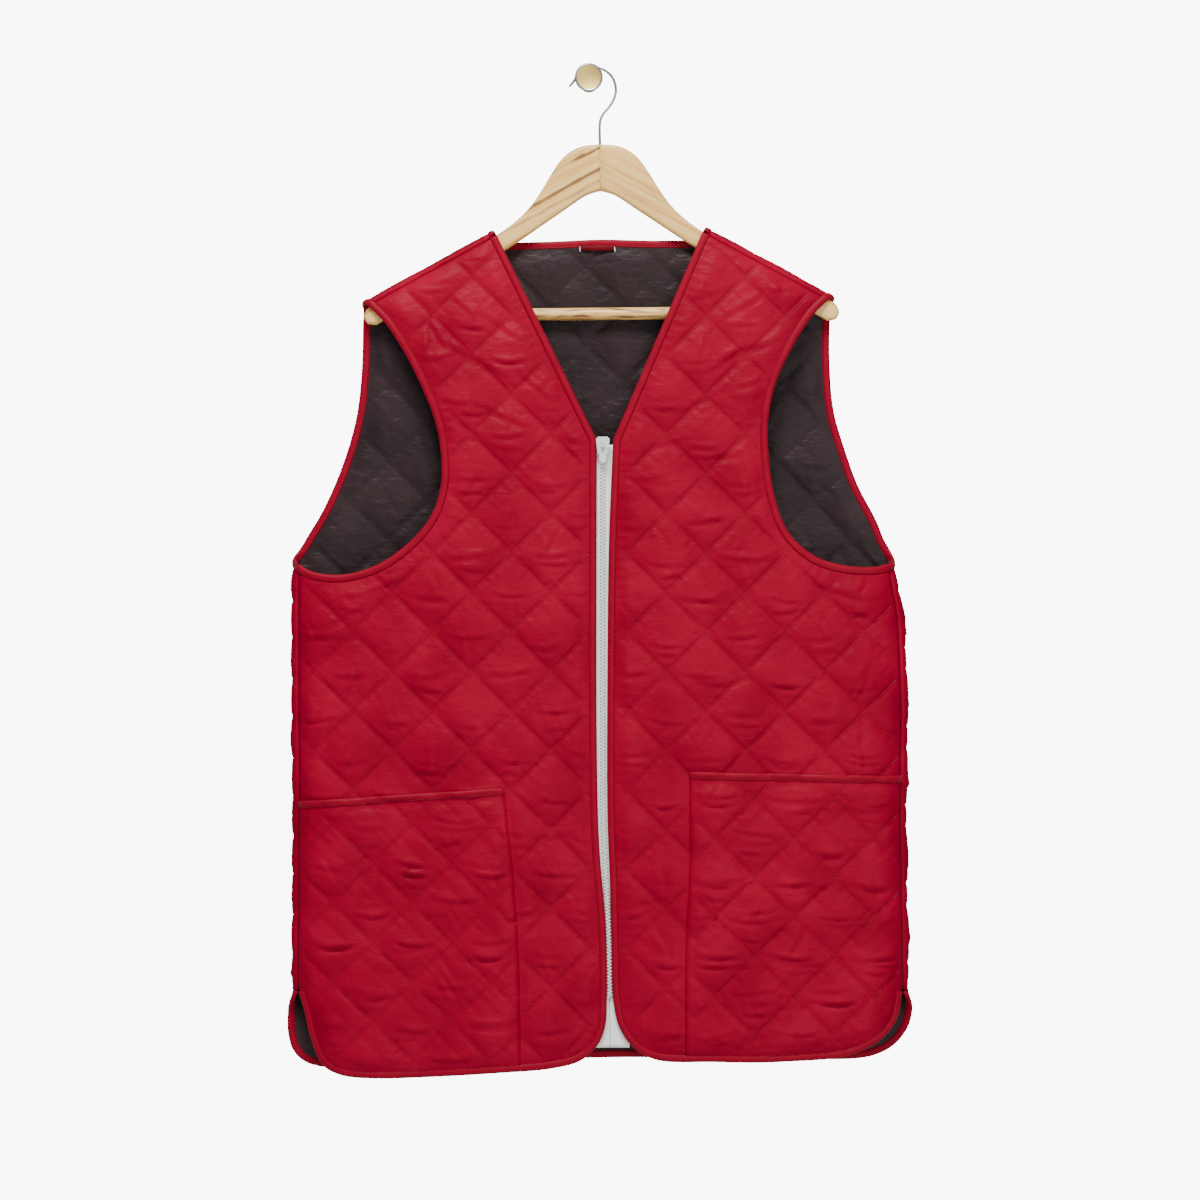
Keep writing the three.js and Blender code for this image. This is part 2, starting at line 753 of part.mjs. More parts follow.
// Cuts a flat slab to its outlines and drapes it with a function from flat place to real place
function drape(slab, lines, place, splits = []) {
  let solid = slab;
  for (const line of lines) solid = solid.intersect(prismOf(line));
  const mesh = solid.getMesh();
  const sheet = { points: [], faces: [] };
  for (let i = 0; i < mesh.vertProperties.length; i += 3) {
    const [x, z, height] = mesh.vertProperties.slice(i, i + 3);
    sheet.points.push(new THREE.Vector3(x, z, height - dish(x, z)));
  }
  for (let i = 0; i < mesh.triVerts.length; i += 3) {
    sheet.faces.push([mesh.triVerts[i], mesh.triVerts[i + 1], mesh.triVerts[i + 2]]);
  }
  for (const split of splits) splitAlong(sheet, split);
  return bodyOf(sheet.points.map((p) => place(p.x, p.y, p.z)), sheet.faces);
}

// A solid through rings of points, closed on itself or capped at both ends
function throughRings(rings, closed) {
  const size = rings[0].length;
  const faces = [];
  const last = closed ? rings.length : rings.length - 1;
  for (let r = 0; r < last; r++) {
    const next = ((r + 1) % rings.length) * size;
    for (let k = 0; k < size; k++) {
      const a = r * size + k;
      const b = r * size + ((k + 1) % size);
      faces.push([a, b, next + k], [b, next + ((k + 1) % size), next + k]);
    }
  }
  if (!closed) {
    const end = (rings.length - 1) * size;
    for (let k = 1; k < size - 1; k++) {
      faces.push([0, k + 1, k], [end, end + k, end + k + 1]);
    }
  }
  return bodyOf(rings.flat(), faces);
}

// Rings of binding along an edge, whose inward side is given by the sign of its turn
function bindingRings(points, place, inwardSign) {
  return points.map((here, i) => {
    const before = points[Math.max(0, i - 1)];
    const after = points[Math.min(points.length - 1, i + 1)];
    const n1 = i > 0 ? inwardOf(before, here) : inwardOf(here, after);
    const n2 = i < points.length - 1 ? inwardOf(here, after) : n1;
    const middle = n1.clone().add(n2).normalize();
    const mitre = 1 / Math.max(LEAST_MITRE, middle.dot(n1));
    return BINDING_SECTION.map((row) => {
      const p = here.clone().addScaledVector(middle, row.inside * mitre * inwardSign);
      return place(p.x, p.y, row.up);
    });
  });
}

// Edges of one front, from the neck end of the shoulder and round by the armhole and hem
function frontEdges(side) {
  const armhole = (side < 0 ? RIGHT_ARMHOLE : LEFT_ARMHOLE).map(flat);
  const hem = (side < 0 ? RIGHT_HEM : LEFT_HEM).map(flat);
  const ridge = RIDGES[side];
  const drop = RIDGE_TO_TURN - SEAM_RISE;
  const neck = new THREE.Vector2(
    ridge.x - side * drop * Math.sin(ridge.slope),
    ridge.z - drop * Math.cos(ridge.slope),
  );
  const tip = armhole[0];
  tip.y += (SEAM_RISE - overShoulder(side, tip.x, tip.y)) / Math.cos(ridge.slope);
  const seamX = (z) => side * (turnStart(side, z) + SEAM_RISE);
  const underarm = armhole[armhole.length - 1];
  underarm.x = seamX(underarm.y);
  hem[0].x = seamX(hem[0].y);
  const sideSeam = straight(underarm, hem[0], EDGE_STEP);
  for (const p of sideSeam) p.x = seamX(p.y);
  return {
    shoulder: straight(neck, tip, EDGE_STEP),
    armhole: curveThrough(armhole, EDGE_STEP),
    sideSeam,
    hem: curveThrough(hem, EDGE_STEP),
    neck: straight(hem[hem.length - 1], neck, EDGE_STEP * 2),
  };
}

function backEdges() {
  const shoulderAlong = (side) => {
    const tip = frontEdges(side).armhole[0];
    const ridge = RIDGES[side];
    return (tip.x - ridge.x) * side * Math.cos(ridge.slope) - (tip.y - ridge.z) * Math.sin(ridge.slope);
  };
  const turnPoint = (side, tip, share) => {
    const rounded = tip + TIP_ROUNDING * (1 - share * share);
    return flatShoulder(side, rounded, TURN_LENGTH * share);
  };
  const armhole = (side) => {
    const tip = shoulderAlong(side);
    const points = [
      ...TURN_SHARES.map((share) => turnPoint(side, tip, share)),
      ...BACK_ARMHOLES[side].map((row) => flatBack(row.x, row.z)),
      new THREE.Vector2(side * (FLAT_HALF + TURN_LENGTH * UNDERARM.turn), UNDERARM.z + UNDERARM.rise),
      new THREE.Vector2(side * (FLAT_HALF + TURN_LENGTH), UNDERARM.z),
    ];
    return curveThrough(points, EDGE_STEP);
  };
  const neckEnd = (side) => flatShoulder(side, 0, TURN_LENGTH);
  const neckTurn = (side) => TURN_SHARES.map((share) => flatShoulder(side, 0, TURN_LENGTH * share));
  const neckPoints = [...neckTurn(-1), ...BACK_NECK.map(flat), ...neckTurn(1).reverse()];
  const hem = BACK_HEM.map((row) => new THREE.Vector2(row.side * (FLAT_HALF + row.around), row.z));
  const right = armhole(-1);
  const left = armhole(1);
  const seamEnd = (side) => new THREE.Vector2(side * (FLAT_HALF + TURN_LENGTH), VENT_TOP);
  const seam = (side, from) => straight(from, seamEnd(side), EDGE_STEP);
  return {
    neck: curveThrough(neckPoints, EDGE_STEP),
    leftShoulder: straight(neckEnd(1), left[0], EDGE_STEP),
    leftArmhole: left,
    leftSeam: seam(1, left[left.length - 1]),
    hem: curveThrough(hem, EDGE_STEP),
    rightSeam: seam(-1, right[right.length - 1]),
    rightArmhole: right,
    rightShoulder: straight(neckEnd(-1), right[0], EDGE_STEP),
  };
}

const reversed = (points) => points.slice().reverse();

// A run of points made shorter at both ends, clear of the seams that it stops at
function trimmed(points, length) {
  const run = points.slice();
  const last = run.length - 1;
  run[0] = run[0].clone().add(run[1].clone().sub(run[0]).setLength(length));
  run[last] = run[last].clone().add(run[last - 1].clone().sub(run[last]).setLength(length));
  return run;
}

const frontShapes = {};
for (const [name, side] of [['right', -1], ['left', 1]]) {
  const edges = frontEdges(side);
  const outline = outlineOf([
    { points: edges.shoulder, inset: SEAM_INSET },
    { points: edges.armhole, inset: BOUND_INSET },
    { points: edges.sideSeam, inset: SIDE_SEAM_INSET },
    { points: edges.hem, inset: BOUND_INSET },
    { points: edges.neck, inset: BOUND_INSET },
  ]);
  frontShapes[name] = { side, edges, line: cutLine(outline) };
}

const backShape = backEdges();
const backOutline = outlineOf([
  { points: backShape.neck, inset: BOUND_INSET },
  { points: backShape.leftShoulder, inset: SEAM_INSET },
  { points: backShape.leftArmhole, inset: TURNED_INSET },
  { points: backShape.leftSeam, inset: SEAM_INSET },
  { points: reversed(backShape.hem), inset: TURNED_INSET },
  { points: reversed(backShape.rightSeam), inset: SEAM_INSET },
  { points: reversed(backShape.rightArmhole), inset: TURNED_INSET },
  { points: reversed(backShape.rightShoulder), inset: SEAM_INSET },
]);
const backLine = cutLine(backOutline);

const vest = new THREE.Group();
vest.position.set(HANGER_X, HANGER_Y, 0);

function add(name, geometry, material, parent = vest) {
  const mesh = new THREE.Mesh(geometry, material);
  mesh.name = name;
  parent.add(mesh);
  return mesh;
}

// A slab over a panel's own grid; a plain inner face takes every second grid line only
function slabOver(lattice, line, outer, inner, innerStride) {
  const box = new THREE.Box2().setFromPoints(line);
  const face = (height, stride) => gridFace(
    gridLines(lattice.x, box.min.x, box.max.x, stride),
    gridLines(lattice.z, box.min.y, box.max.y, stride),
    height,
    stride,
  );
  return gridSlab(face(outer, 1), face(inner, innerStride));
}

// Fronts, with their pockets lying on the quilting
function frontOuter(name) {
  const { line } = frontShapes[name];
  const fade = (x, z) => smooth(0, PUFF_FADE, distanceToLine(line, x, z));
  return (x, z) => WALL + PUFF * quiltHeight(LATTICES[name], x, z) * fade(x, z);
}

function pocketRegions(name) {
  const pocket = POCKETS[name];
  const edge = curveThrough(pocket.edge.map(flat), EDGE_STEP);
  const outer = flat(pocket.outerTop);
  const along = edge[0].clone().sub(outer).normalize();
  const down = new THREE.Vector2(0, -POCKET_BAND);
  const end = edge[edge.length - 1];
  const corner = new THREE.Vector2(outer.x, end.y);
  const share = POCKET_BAND / (edge[0].y - edge[1].y);
  const inner = edge[0].clone().lerp(edge[1], share);
  const gap = new THREE.Vector2(0, -GAP);
  const band = [outer, edge[0], inner, inner.clone().addScaledVector(along, -(inner.x - outer.x) / along.x)];
  const bag = [outer.clone().add(down).add(gap), inner.clone().add(gap), ...edge.slice(1), corner];
  return { band, bag };
}

for (const name of ['right', 'left']) {
  const shape = frontShapes[name];
  const lattice = LATTICES[name];
  const outer = frontOuter(name);
  const slab = slabOver(lattice, shape.line, outer, () => 0, 2);
  add(`front_${name}`, drape(slab, [shape.line], frontPoint), SHELL);

  const { band, bag } = pocketRegions(name);
  const base = (x, z) => outer(x, z) + POCKET_CLEAR;
  const bagTop = (x, z) => base(x, z) + POCKET_WALL
    + POCKET_PUFF * quiltHeight(lattice, x, z) * smooth(0, PUFF_FADE, distanceToLine(bag, x, z));
  const bagSlab = slabOver(lattice, bag, bagTop, base, 1);
  add(`pocket_${name}`, drape(bagSlab, [shape.line, bag], frontPoint), SHELL);
  const bandSlab = slabOver(lattice, band, (x, z) => base(x, z) + POCKET_BAND_WALL, base, 1);
  add(`pocket_binding_${name}`, drape(bandSlab, [shape.line, band], frontPoint), TRIM);
}

// Back panel and its lining
const turnSplits = [];
for (const share of TURN_SPLITS) {
  for (const side of [-1, 1]) {
    turnSplits.push((x, z) => overShoulder(side, x, z) - TURN_LENGTH * share);
  }
}
const backOuter = (x, z) => {
  const pressed = 1 - SHOULDER_PRESS * smooth(-SHOULDER_PRESS_REACH, 0, overShoulder(sideOf(x), x, z));
  const fade = smooth(0, PUFF_FADE, distanceToLine(backLine, x, z));
  return WALL + PUFF * quiltHeight(LATTICES.back, x, z) * fade * pressed;
};
const backBox = new THREE.Box2().setFromPoints(backLine);
const backRows = gridLines(LATTICES.back.z, backBox.min.y, backBox.max.y, 2);
const backFace = (height, steps) => gridFace(turningLines(LATTICES.back.x, steps), backRows, height, 2);
const backSlab = gridSlab(backFace(backOuter, TURN_STEPS), backFace(() => 0, TURN_STEPS));
add('back', drape(backSlab, [backLine], backPoint, turnSplits), SHELL);
const liningSlab = gridSlab(
  backFace(() => LINING_FRONT, LINING_TURN_STEPS),
  backFace(() => LINING_BACK, LINING_TURN_STEPS),
);
add('lining_back', drape(liningSlab, [backLine], backPoint, turnSplits), LINING);

// Bindings
for (const name of ['right', 'left']) {
  const { side, edges } = frontShapes[name];
  const run = trimmed([...edges.hem, ...edges.neck.slice(1)], BINDING_SEAM);
  add(`edge_binding_${name}`, throughRings(bindingRings(run, frontPoint, side < 0 ? 1 : -1), false), TRIM);
  const backRun = name === 'right' ? backShape.rightArmhole : backShape.leftArmhole;
  const rings = [
    ...bindingRings(edges.armhole, frontPoint, side < 0 ? 1 : -1),
    ...bindingRings(reversed(backRun), backPoint, side < 0 ? -1 : 1),
  ];
  add(`armhole_binding_${name}`, throughRings(rings, true), TRIM);
}
const neckRun = trimmed(backShape.neck, NECK_BINDING_TRIM);
add('neck_binding', throughRings(bindingRings(neckRun, backPoint, -1), false), TRIM);
const hemRun = trimmed(backShape.hem, BINDING_SEAM);
add('back_hem_binding', throughRings(bindingRings(hemRun, backPoint, 1), false), TRIM);

// Loop across the inside of the back neck, bowed a little at its middle
const loopRings = Array.from({ length: LOOP.steps + 1 }, (_, i) => {
  const share = i / LOOP.steps;
  const across = LOOP.from + (LOOP.to - LOOP.from) * share;
  const top = LOOP.level - LOOP.bow * Math.sin(Math.PI * share);
  const section = [
    { z: LOOP.top, up: top },
    { z: LOOP.top - LOOP.height, up: top },
    { z: LOOP.top - LOOP.height, up: top - LOOP.thickness },
    { z: LOOP.top, up: top - LOOP.thickness },
  ];
  return section.map((row) => backPoint(across, row.z, row.up));
});
add('neck_loop', throughRings(loopRings, false), TRIM);

// Zip: tapes behind the bound edges, and the closed chain in front of where they meet
const zipX = (z) => atHeight(ZIP_LINE, 'x', z);

function zipStrip(top, end, from, to, level, thickness) {
  const count = Math.ceil((top - end) / ZIP_STEP);
  const rings = Array.from({ length: count + 1 }, (_, i) => {
    const z = top + ((end - top) * i) / count;
    const corners = [[from, level], [to, level], [to, level + thickness], [from, level + thickness]];
    return corners.map(([across, up]) => frontPoint(zipX(z) + across, z, up));
  });
  return throughRings(rings, false);
}

const tape = (from, to) => zipStrip(TAPE_TOP, TAPE_END, from, to, TAPE_LEVEL, TAPE_THICKNESS);
add('zip_tape_right', tape(-TAPE_WIDTH, -SEAM_INSET), TAPE);
add('zip_tape_left', tape(SEAM_INSET, TAPE_WIDTH), TAPE);
const chainHalf = CHAIN_WIDTH / 2;
add('zip_chain', zipStrip(CHAIN_TOP, CHAIN_END, -chainHalf, chainHalf, CHAIN_LEVEL, CHAIN_THICKNESS), TAPE);

// Slider and pull, built upright at the top of the chain, with heights off the cloth's inner face
const sliderX = zipX(SLIDER.top);
const sliderY = frontDepth(sliderX, SLIDER.top - SLIDER.length / 2);

// A flat shape seen from the front, solid between two heights
function plate(shape, low, high) {
  const geometry = new THREE.ExtrudeGeometry(shape, { depth: high - low, bevelEnabled: false });
  return geometry.rotateX(Math.PI / 2).translate(sliderX, sliderY - low, 0);
}

function tapered(topWidth, endWidth, top, length) {
  const shape = new THREE.Shape();
  shape.moveTo(-topWidth / 2, top - SLIDER.corner);
  shape.lineTo(-topWidth / 2 + SLIDER.corner, top);
  shape.lineTo(topWidth / 2 - SLIDER.corner, top);
  shape.lineTo(topWidth / 2, top - SLIDER.corner);
  shape.lineTo(endWidth / 2, top - length);
  shape.lineTo(-endWidth / 2, top - length);
  shape.closePath();
  return shape;
}

function rectangle(width, top, length) {
  const shape = new THREE.Shape();
  shape.moveTo(-width / 2, top);
  shape.lineTo(width / 2, top);
  shape.lineTo(width / 2, top - length);
  shape.lineTo(-width / 2, top - length);
  shape.closePath();
  return shape;
}

const faceLevel = SLIDER_OVER_BINDING + SLIDER.plate;
const rearLevel = TAPE_LEVEL - GAP;

// The bail is an arch that stands on the slider's face
function bailGeometry() {
  const { top, length, rise, bar, width } = BAIL;
  const low = faceLevel - bar / 2;
  const high = faceLevel + rise;
  const shape = new THREE.Shape();
  shape.moveTo(low, top);
  shape.lineTo(high - bar, top);
  shape.lineTo(high, top - bar);
  shape.lineTo(high, top - length + bar);
  shape.lineTo(high - bar, top - length);
  shape.lineTo(low, top - length);
  shape.lineTo(low, top - length + bar);
  shape.lineTo(high - bar, top - length + bar);
  shape.lineTo(high - bar, top - bar);
  shape.lineTo(low, top - bar);
  shape.closePath();
  const geometry = new THREE.ExtrudeGeometry(shape, { depth: width, bevelEnabled: false });
  const turn = new THREE.Matrix4().makeBasis(
    new THREE.Vector3(0, -1, 0),
    new THREE.Vector3(0, 0, 1),
    new THREE.Vector3(-1, 0, 0),
  );
  return geometry.applyMatrix4(turn).translate(sliderX + width / 2, sliderY, 0);
}

const facePlate = tapered(SLIDER.topWidth, SLIDER.endWidth, SLIDER.top, SLIDER.length);
const blockPlate = tapered(
  SLIDER.block,
  SLIDER.block - SLIDER.blockTaper,
  SLIDER.top,
  SLIDER.length - SLIDER.overlap,
);
const rearPlate = tapered(
  SLIDER.topWidth - SLIDER.rearNarrower,
  SLIDER.endWidth - SLIDER.rearNarrower,
  SLIDER.top,
  SLIDER.length,
);
const neckPlate = rectangle(SLIDER.neckWidth, SLIDER.top - SLIDER.neckInset, SLIDER.neck);
const sliderPieces = [
  plate(facePlate, SLIDER_OVER_BINDING, faceLevel),
  plate(blockPlate, SLIDER_OVER_CHAIN, faceLevel - SLIDER.overlap / 2),
  plate(rearPlate, rearLevel - SLIDER.plate, rearLevel),
  plate(neckPlate, rearLevel - SLIDER.overlap, SLIDER_OVER_CHAIN + SLIDER.overlap),
  bailGeometry(),
];
const sliderSolid = sliderPieces.map(solidFrom).reduce((joined, piece) => joined.add(piece));
add('zip_slider', geometryFrom(sliderSolid), SLIDER_METAL);

// The pull hangs by its eye bar inside the bail; its hole straddles the bail as it swings up
const pullAxis = {
  z: BAIL.top - BAIL.length + BAIL.bar + GAP + PULL.eyeBar / 2,
  up: faceLevel + (BAIL.rise - BAIL.bar) / 2,
};
const pullShape = new THREE.Shape();
const pullTop = pullAxis.z + PULL.eyeBar / 2;
const pullEnd = pullTop - PULL.length;
pullShape.moveTo(-PULL.width / 2 + PULL.corner, pullTop);
pullShape.lineTo(PULL.width / 2 - PULL.corner, pullTop);
pullShape.lineTo(PULL.width / 2, pullTop - PULL.corner);
pullShape.lineTo(PULL.width / 2, pullEnd + PULL.width / 2);
pullShape.absarc(0, pullEnd + PULL.width / 2, PULL.width / 2, 0, -Math.PI, true);
pullShape.lineTo(-PULL.width / 2, pullTop - PULL.corner);
pullShape.closePath();
const pullHole = new THREE.Path();
const holeTop = pullTop - PULL.eyeBar;
pullHole.moveTo(-PULL.hole / 2, holeTop);
pullHole.lineTo(-PULL.hole / 2, holeTop - PULL.holeLength);
pullHole.lineTo(PULL.hole / 2, holeTop - PULL.holeLength);
pullHole.lineTo(PULL.hole / 2, holeTop);
pullHole.closePath();
pullShape.holes.push(pullHole);
const pullHalf = PULL.thickness / 2;
add('zip_pull', plate(pullShape, pullAxis.up - pullHalf, pullAxis.up + pullHalf), SLIDER_METAL);

// Hanger: two wooden arms glued at the middle, with a round bar let into their ends
const hangerTilt = new THREE.Matrix4()
  .makeTranslation(0, 0, WOOD_TOP[0].z)
  .multiply(new THREE.Matrix4().makeRotationY(-WOOD_TILT))
  .multiply(new THREE.Matrix4().makeTranslation(0, 0, -WOOD_TOP[0].z));

function woodGeometry() {
  const half = [...WOOD_TOP, ...WOOD_UNDER].map(flat);
  const mirrored = half.slice(1, -1).reverse().map((p) => new THREE.Vector2(-p.x, p.y));
  const geometry = new THREE.ExtrudeGeometry(new THREE.Shape([...half, ...mirrored]), {
    depth: WOOD_THICKNESS - 2 * WOOD_ROUNDING,
    bevelThickness: WOOD_ROUNDING,
    bevelSize: WOOD_ROUNDING,
    bevelOffset: -WOOD_ROUNDING,
    bevelSegments: WOOD_ROUNDING_STEPS,
  });
  return geometry.translate(0, 0, WOOD_ROUNDING - WOOD_THICKNESS / 2).rotateX(Math.PI / 2);
}

const tenonReach = BAR_HALF + TENON_LENGTH;
const boreDepth = HOOK_DEPTH + BORE_EXTRA;
const tenonHole = TENON_RADIUS + GAP;
const tenonLength = 2 * tenonReach + BORE_EXTRA;
const tenonBore = new THREE.CylinderGeometry(tenonHole, tenonHole, tenonLength, ROUND_SIDES);
tenonBore.rotateZ(Math.PI / 2).translate(0, 0, BAR_Z);
const hookHole = WIRE_RADIUS + GAP;
const hookBore = new THREE.CylinderGeometry(hookHole, hookHole, boreDepth * 2, ROUND_SIDES);
hookBore.rotateX(Math.PI / 2).translate(0, 0, WOOD_TOP[0].z);
const glueLine = new THREE.BoxGeometry(GAP, WOOD_THICKNESS * 2, GLUE_LINE_LENGTH);
glueLine.translate(0, 0, WOOD_TOP[0].z);
const wood = solidFrom(woodGeometry())
  .subtract(solidFrom(tenonBore))
  .subtract(solidFrom(hookBore))
  .subtract(solidFrom(glueLine));
for (const arm of wood.decompose()) {
  const box = arm.boundingBox();
  const name = box.min[0] + box.max[0] < 0 ? 'hanger_arm_right' : 'hanger_arm_left';
  add(name, geometryFrom(arm).applyMatrix4(hangerTilt), WOOD);
}

const barProfile = [
  new THREE.Vector2(0, -tenonReach),
  new THREE.Vector2(TENON_RADIUS, -tenonReach),
  new THREE.Vector2(TENON_RADIUS, -BAR_HALF),
  new THREE.Vector2(BAR_RADIUS, -BAR_HALF),
  new THREE.Vector2(BAR_RADIUS, BAR_HALF),
  new THREE.Vector2(TENON_RADIUS, BAR_HALF),
  new THREE.Vector2(TENON_RADIUS, tenonReach),
  new THREE.Vector2(0, tenonReach),
];
const bar = new THREE.LatheGeometry(barProfile, ROUND_SIDES).rotateZ(Math.PI / 2).translate(0, 0, BAR_Z);
add('hanger_bar', bar.applyMatrix4(hangerTilt), WOOD);

const hookLine = [{ x: 0, z: WOOD_TOP[0].z - HOOK_DEPTH }, { x: 0, z: HOOK_STRAIGHT }, ...HOOK_PATH];
const hookPoints = hookLine.map((row) => new THREE.Vector3(row.x, 0, row.z));
const hookCurve = new THREE.CatmullRomCurve3(hookPoints, false, 'centripetal');
const wireSection = new THREE.Shape();
wireSection.absarc(0, 0, WIRE_RADIUS, 0, Math.PI * 2);
const hook = new THREE.ExtrudeGeometry(wireSection, {
  steps: HOOK_STEPS,
  extrudePath: hookCurve,
  curveSegments: WIRE_SIDES / 2,
  bevelEnabled: false,
});
add('hanger_hook', hook, STEEL);

const group = new THREE.Group();
group.add(vest);

// Wall peg, with its flat back face on the wall and its head in front of the hook
const pegProfile = [
  new THREE.Vector2(0, 0),
  new THREE.Vector2(PEG.shank, 0),
  new THREE.Vector2(PEG.shank, PEG.neckLength),
  new THREE.Vector2(PEG.head, PEG.neckLength),
  new THREE.Vector2(PEG.head, PEG.neckLength + PEG.headLength - PEG.rounding),
  new THREE.Vector2(PEG.head - PEG.rounding, PEG.neckLength + PEG.headLength),
  new THREE.Vector2(0, PEG.neckLength + PEG.headLength),
];
add('wall_peg', new THREE.LatheGeometry(pegProfile, PEG_SIDES).rotateX(Math.PI), BRASS, group);

export default group;
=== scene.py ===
"""Looks of a red diamond-quilted zip vest on a wooden hanger, hung on a wall peg.

Sizes are in millimetres until a mesh is made. Places on the vest are local to the hanger, whose middle
is HANGER in the part's frame. Right and left are the wearer's, so the right front lies at -X.
"""

import math

import bmesh
import bpy
import numpy as np
from mathutils import Euler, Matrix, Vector


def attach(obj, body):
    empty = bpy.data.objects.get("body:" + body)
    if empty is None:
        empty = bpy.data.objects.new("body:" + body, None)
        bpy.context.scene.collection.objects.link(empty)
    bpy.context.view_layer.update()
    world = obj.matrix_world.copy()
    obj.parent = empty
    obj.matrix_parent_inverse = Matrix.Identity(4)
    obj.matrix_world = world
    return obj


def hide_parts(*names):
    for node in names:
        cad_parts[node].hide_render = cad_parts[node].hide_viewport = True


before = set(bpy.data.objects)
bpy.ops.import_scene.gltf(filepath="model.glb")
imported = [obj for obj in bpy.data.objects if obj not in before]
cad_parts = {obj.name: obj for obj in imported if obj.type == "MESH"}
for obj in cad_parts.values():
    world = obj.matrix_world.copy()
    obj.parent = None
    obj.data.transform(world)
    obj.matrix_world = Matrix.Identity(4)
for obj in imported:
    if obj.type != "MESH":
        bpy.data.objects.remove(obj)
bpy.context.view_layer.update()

HANGER = (10.3, -30.0, 0.0)
IMAGE_PIXELS = 1200
MM_PER_PIXEL = 0.92
VIEW_CENTRE = (10.3, -481.3)
VIEW_PLANE = -45.0
VIEW_DISTANCE = 3600.0


def add_camera():
    """Level and square to the vest, far off, as a garment is photographed for sale."""
    lens = bpy.data.cameras.new("studio_camera")
    lens.sensor_width = 36.0
    lens.lens = lens.sensor_width * VIEW_DISTANCE / (IMAGE_PIXELS * MM_PER_PIXEL)
    lens.clip_end = 60.0
    camera = bpy.data.objects.new("studio_camera", lens)
    camera.location = Vector((VIEW_CENTRE[0], VIEW_PLANE - VIEW_DISTANCE, VIEW_CENTRE[1])) / 1000
    camera.rotation_euler = Euler((math.pi / 2, 0, 0))
    bpy.context.collection.objects.link(camera)
    bpy.context.scene.camera = camera


add_camera()

# Quilting: squares standing on a corner, sewn through shell, wadding and lining
QUILT_DIAGONAL = 72.6
QUILT_SIDE = QUILT_DIAGONAL / math.sqrt(2)
WALL = 1.6
PUFF = 3.6
PUFF_FADE = 14.0
LINING_LEVEL = -1.1

# Bias binding folded over every free edge
BINDING_WIDTH = 7.0

# The back panel turns round each side and over each shoulder on this radius
TURN_RADIUS = 8.8
TURN_ANGLE = math.radians(150)
TURN_LENGTH = TURN_RADIUS * TURN_ANGLE
SEAM_RISE = TURN_RADIUS * math.sin(TURN_ANGLE)
SEAM_DEPTH = -TURN_RADIUS * math.cos(TURN_ANGLE)
TURN_TO_OUTSIDE = TURN_RADIUS + 3.2
RIDGE_TO_TURN = TURN_RADIUS + 2.2
FLAT_HALF = 272.0
TIP_ROUNDING = 6.0

RIDGES = {  # neck end of each shoulder ridge, and its slope
    -1: {"x": -98.4, "z": -139.1, "slope": math.radians(28.8)},
    1: {"x": 97.5, "z": -136.3, "slope": math.radians(28.3)},
}

BODY_COLUMNS = ("z", "right", "left", "front", "back")
BODY = (  # half widths to each side, and how far front and back stand off the hanger's plane
    (-140, 284, 284, 4, 0),
    (-300, 284, 284, 12, 3),
    (-441, 285.2, 273.5, 15, 5),
    (-500, 285.4, 281.5, 15.5, 5),
    (-585, 285.2, 285, 16, 5),
    (-680, 284.6, 283.6, 16, 6),
    (-830, 285.2, 286, 15, 5),
    (-925, 286, 287, 14, 4),
)
FRONT_ROUNDING = 26.0
BACK_ROUNDING = 90.0
ROUNDING_BLEND = 15.0

VENT_TOP = -842.0
VENT_OPENED = -900.0
VENT_RADIUS = 42.0

# Folds of the hanging cloth: across, lean, phase and height
FOLDS = ((196, 0.1, 0.6, 1.9), (88, -0.22, 2.1, 0.8))
FOLDS_START = -260.0
FOLDS_FULL = -640.0

# Outlines as (x, z), seen from the front
ARMHOLES = {
    -1: (
        (-213.9, -210.4), (-198, -226.5), (-178.3, -257), (-162.5, -289), (-151.5, -318), (-146.2, -347),
        (-146.6, -378), (-156, -405), (-174, -427), (-204, -448.5), (-238, -457.8), (-266, -454.5),
        (-280.8, -447.6),
    ),
    1: (
        (210.6, -204.6), (196.4, -218.8), (176.4, -250), (160.6, -286), (154.8, -315), (154.8, -345),
        (160, -384), (173, -418.5), (197, -440.6), (226, -449.6), (253, -450.6), (270.4, -447.6),
    ),
}
HEMS = {
    -1: (
        (-276.6, VENT_TOP), (-271.6, -862), (-266.4, -884), (-255, -909), (-238, -918), (-198, -921),
        (-98, -916), (-45, -911.6), (-18, -904.5), (-2.6, -891), (4.8, -873), (6.4, -846), (5.4, -781),
        (-0.6, -706), (-2.8, -620), (-2.9, -334.2),
    ),
    1: (
        (279, VENT_TOP), (273, -868), (257, -887), (226, -900.5), (166, -905.6), (105, -905.6),
        (52, -903.8), (31, -893), (17.4, -873), (11.8, -846), (10.4, -800), (9, -742), (6.8, -681),
        (6.6, -573), (8.2, -426), (12, -334.2),
    ),
}
BACK_ARMHOLES = {
    -1: (
        (-219.6, -226), (-220.4, -263), (-225.4, -310), (-236.6, -351), (-254.4, -394), (-270, -421),
        (-281, -436),
    ),
    1: ((213.4, -219), (213, -268), (216.8, -307), (225.6, -338), (238.4, -374), (256, -408), (266, -429)),
}
BACK_NECK = ((-91.6, -148.8), (-56, -149.6), (0, -147.4), (56, -148.4), (91.2, -146.2))
UNDERARM = -447.6
UNDERARM_RISE = 6.0
UNDERARM_SHARE = 0.55
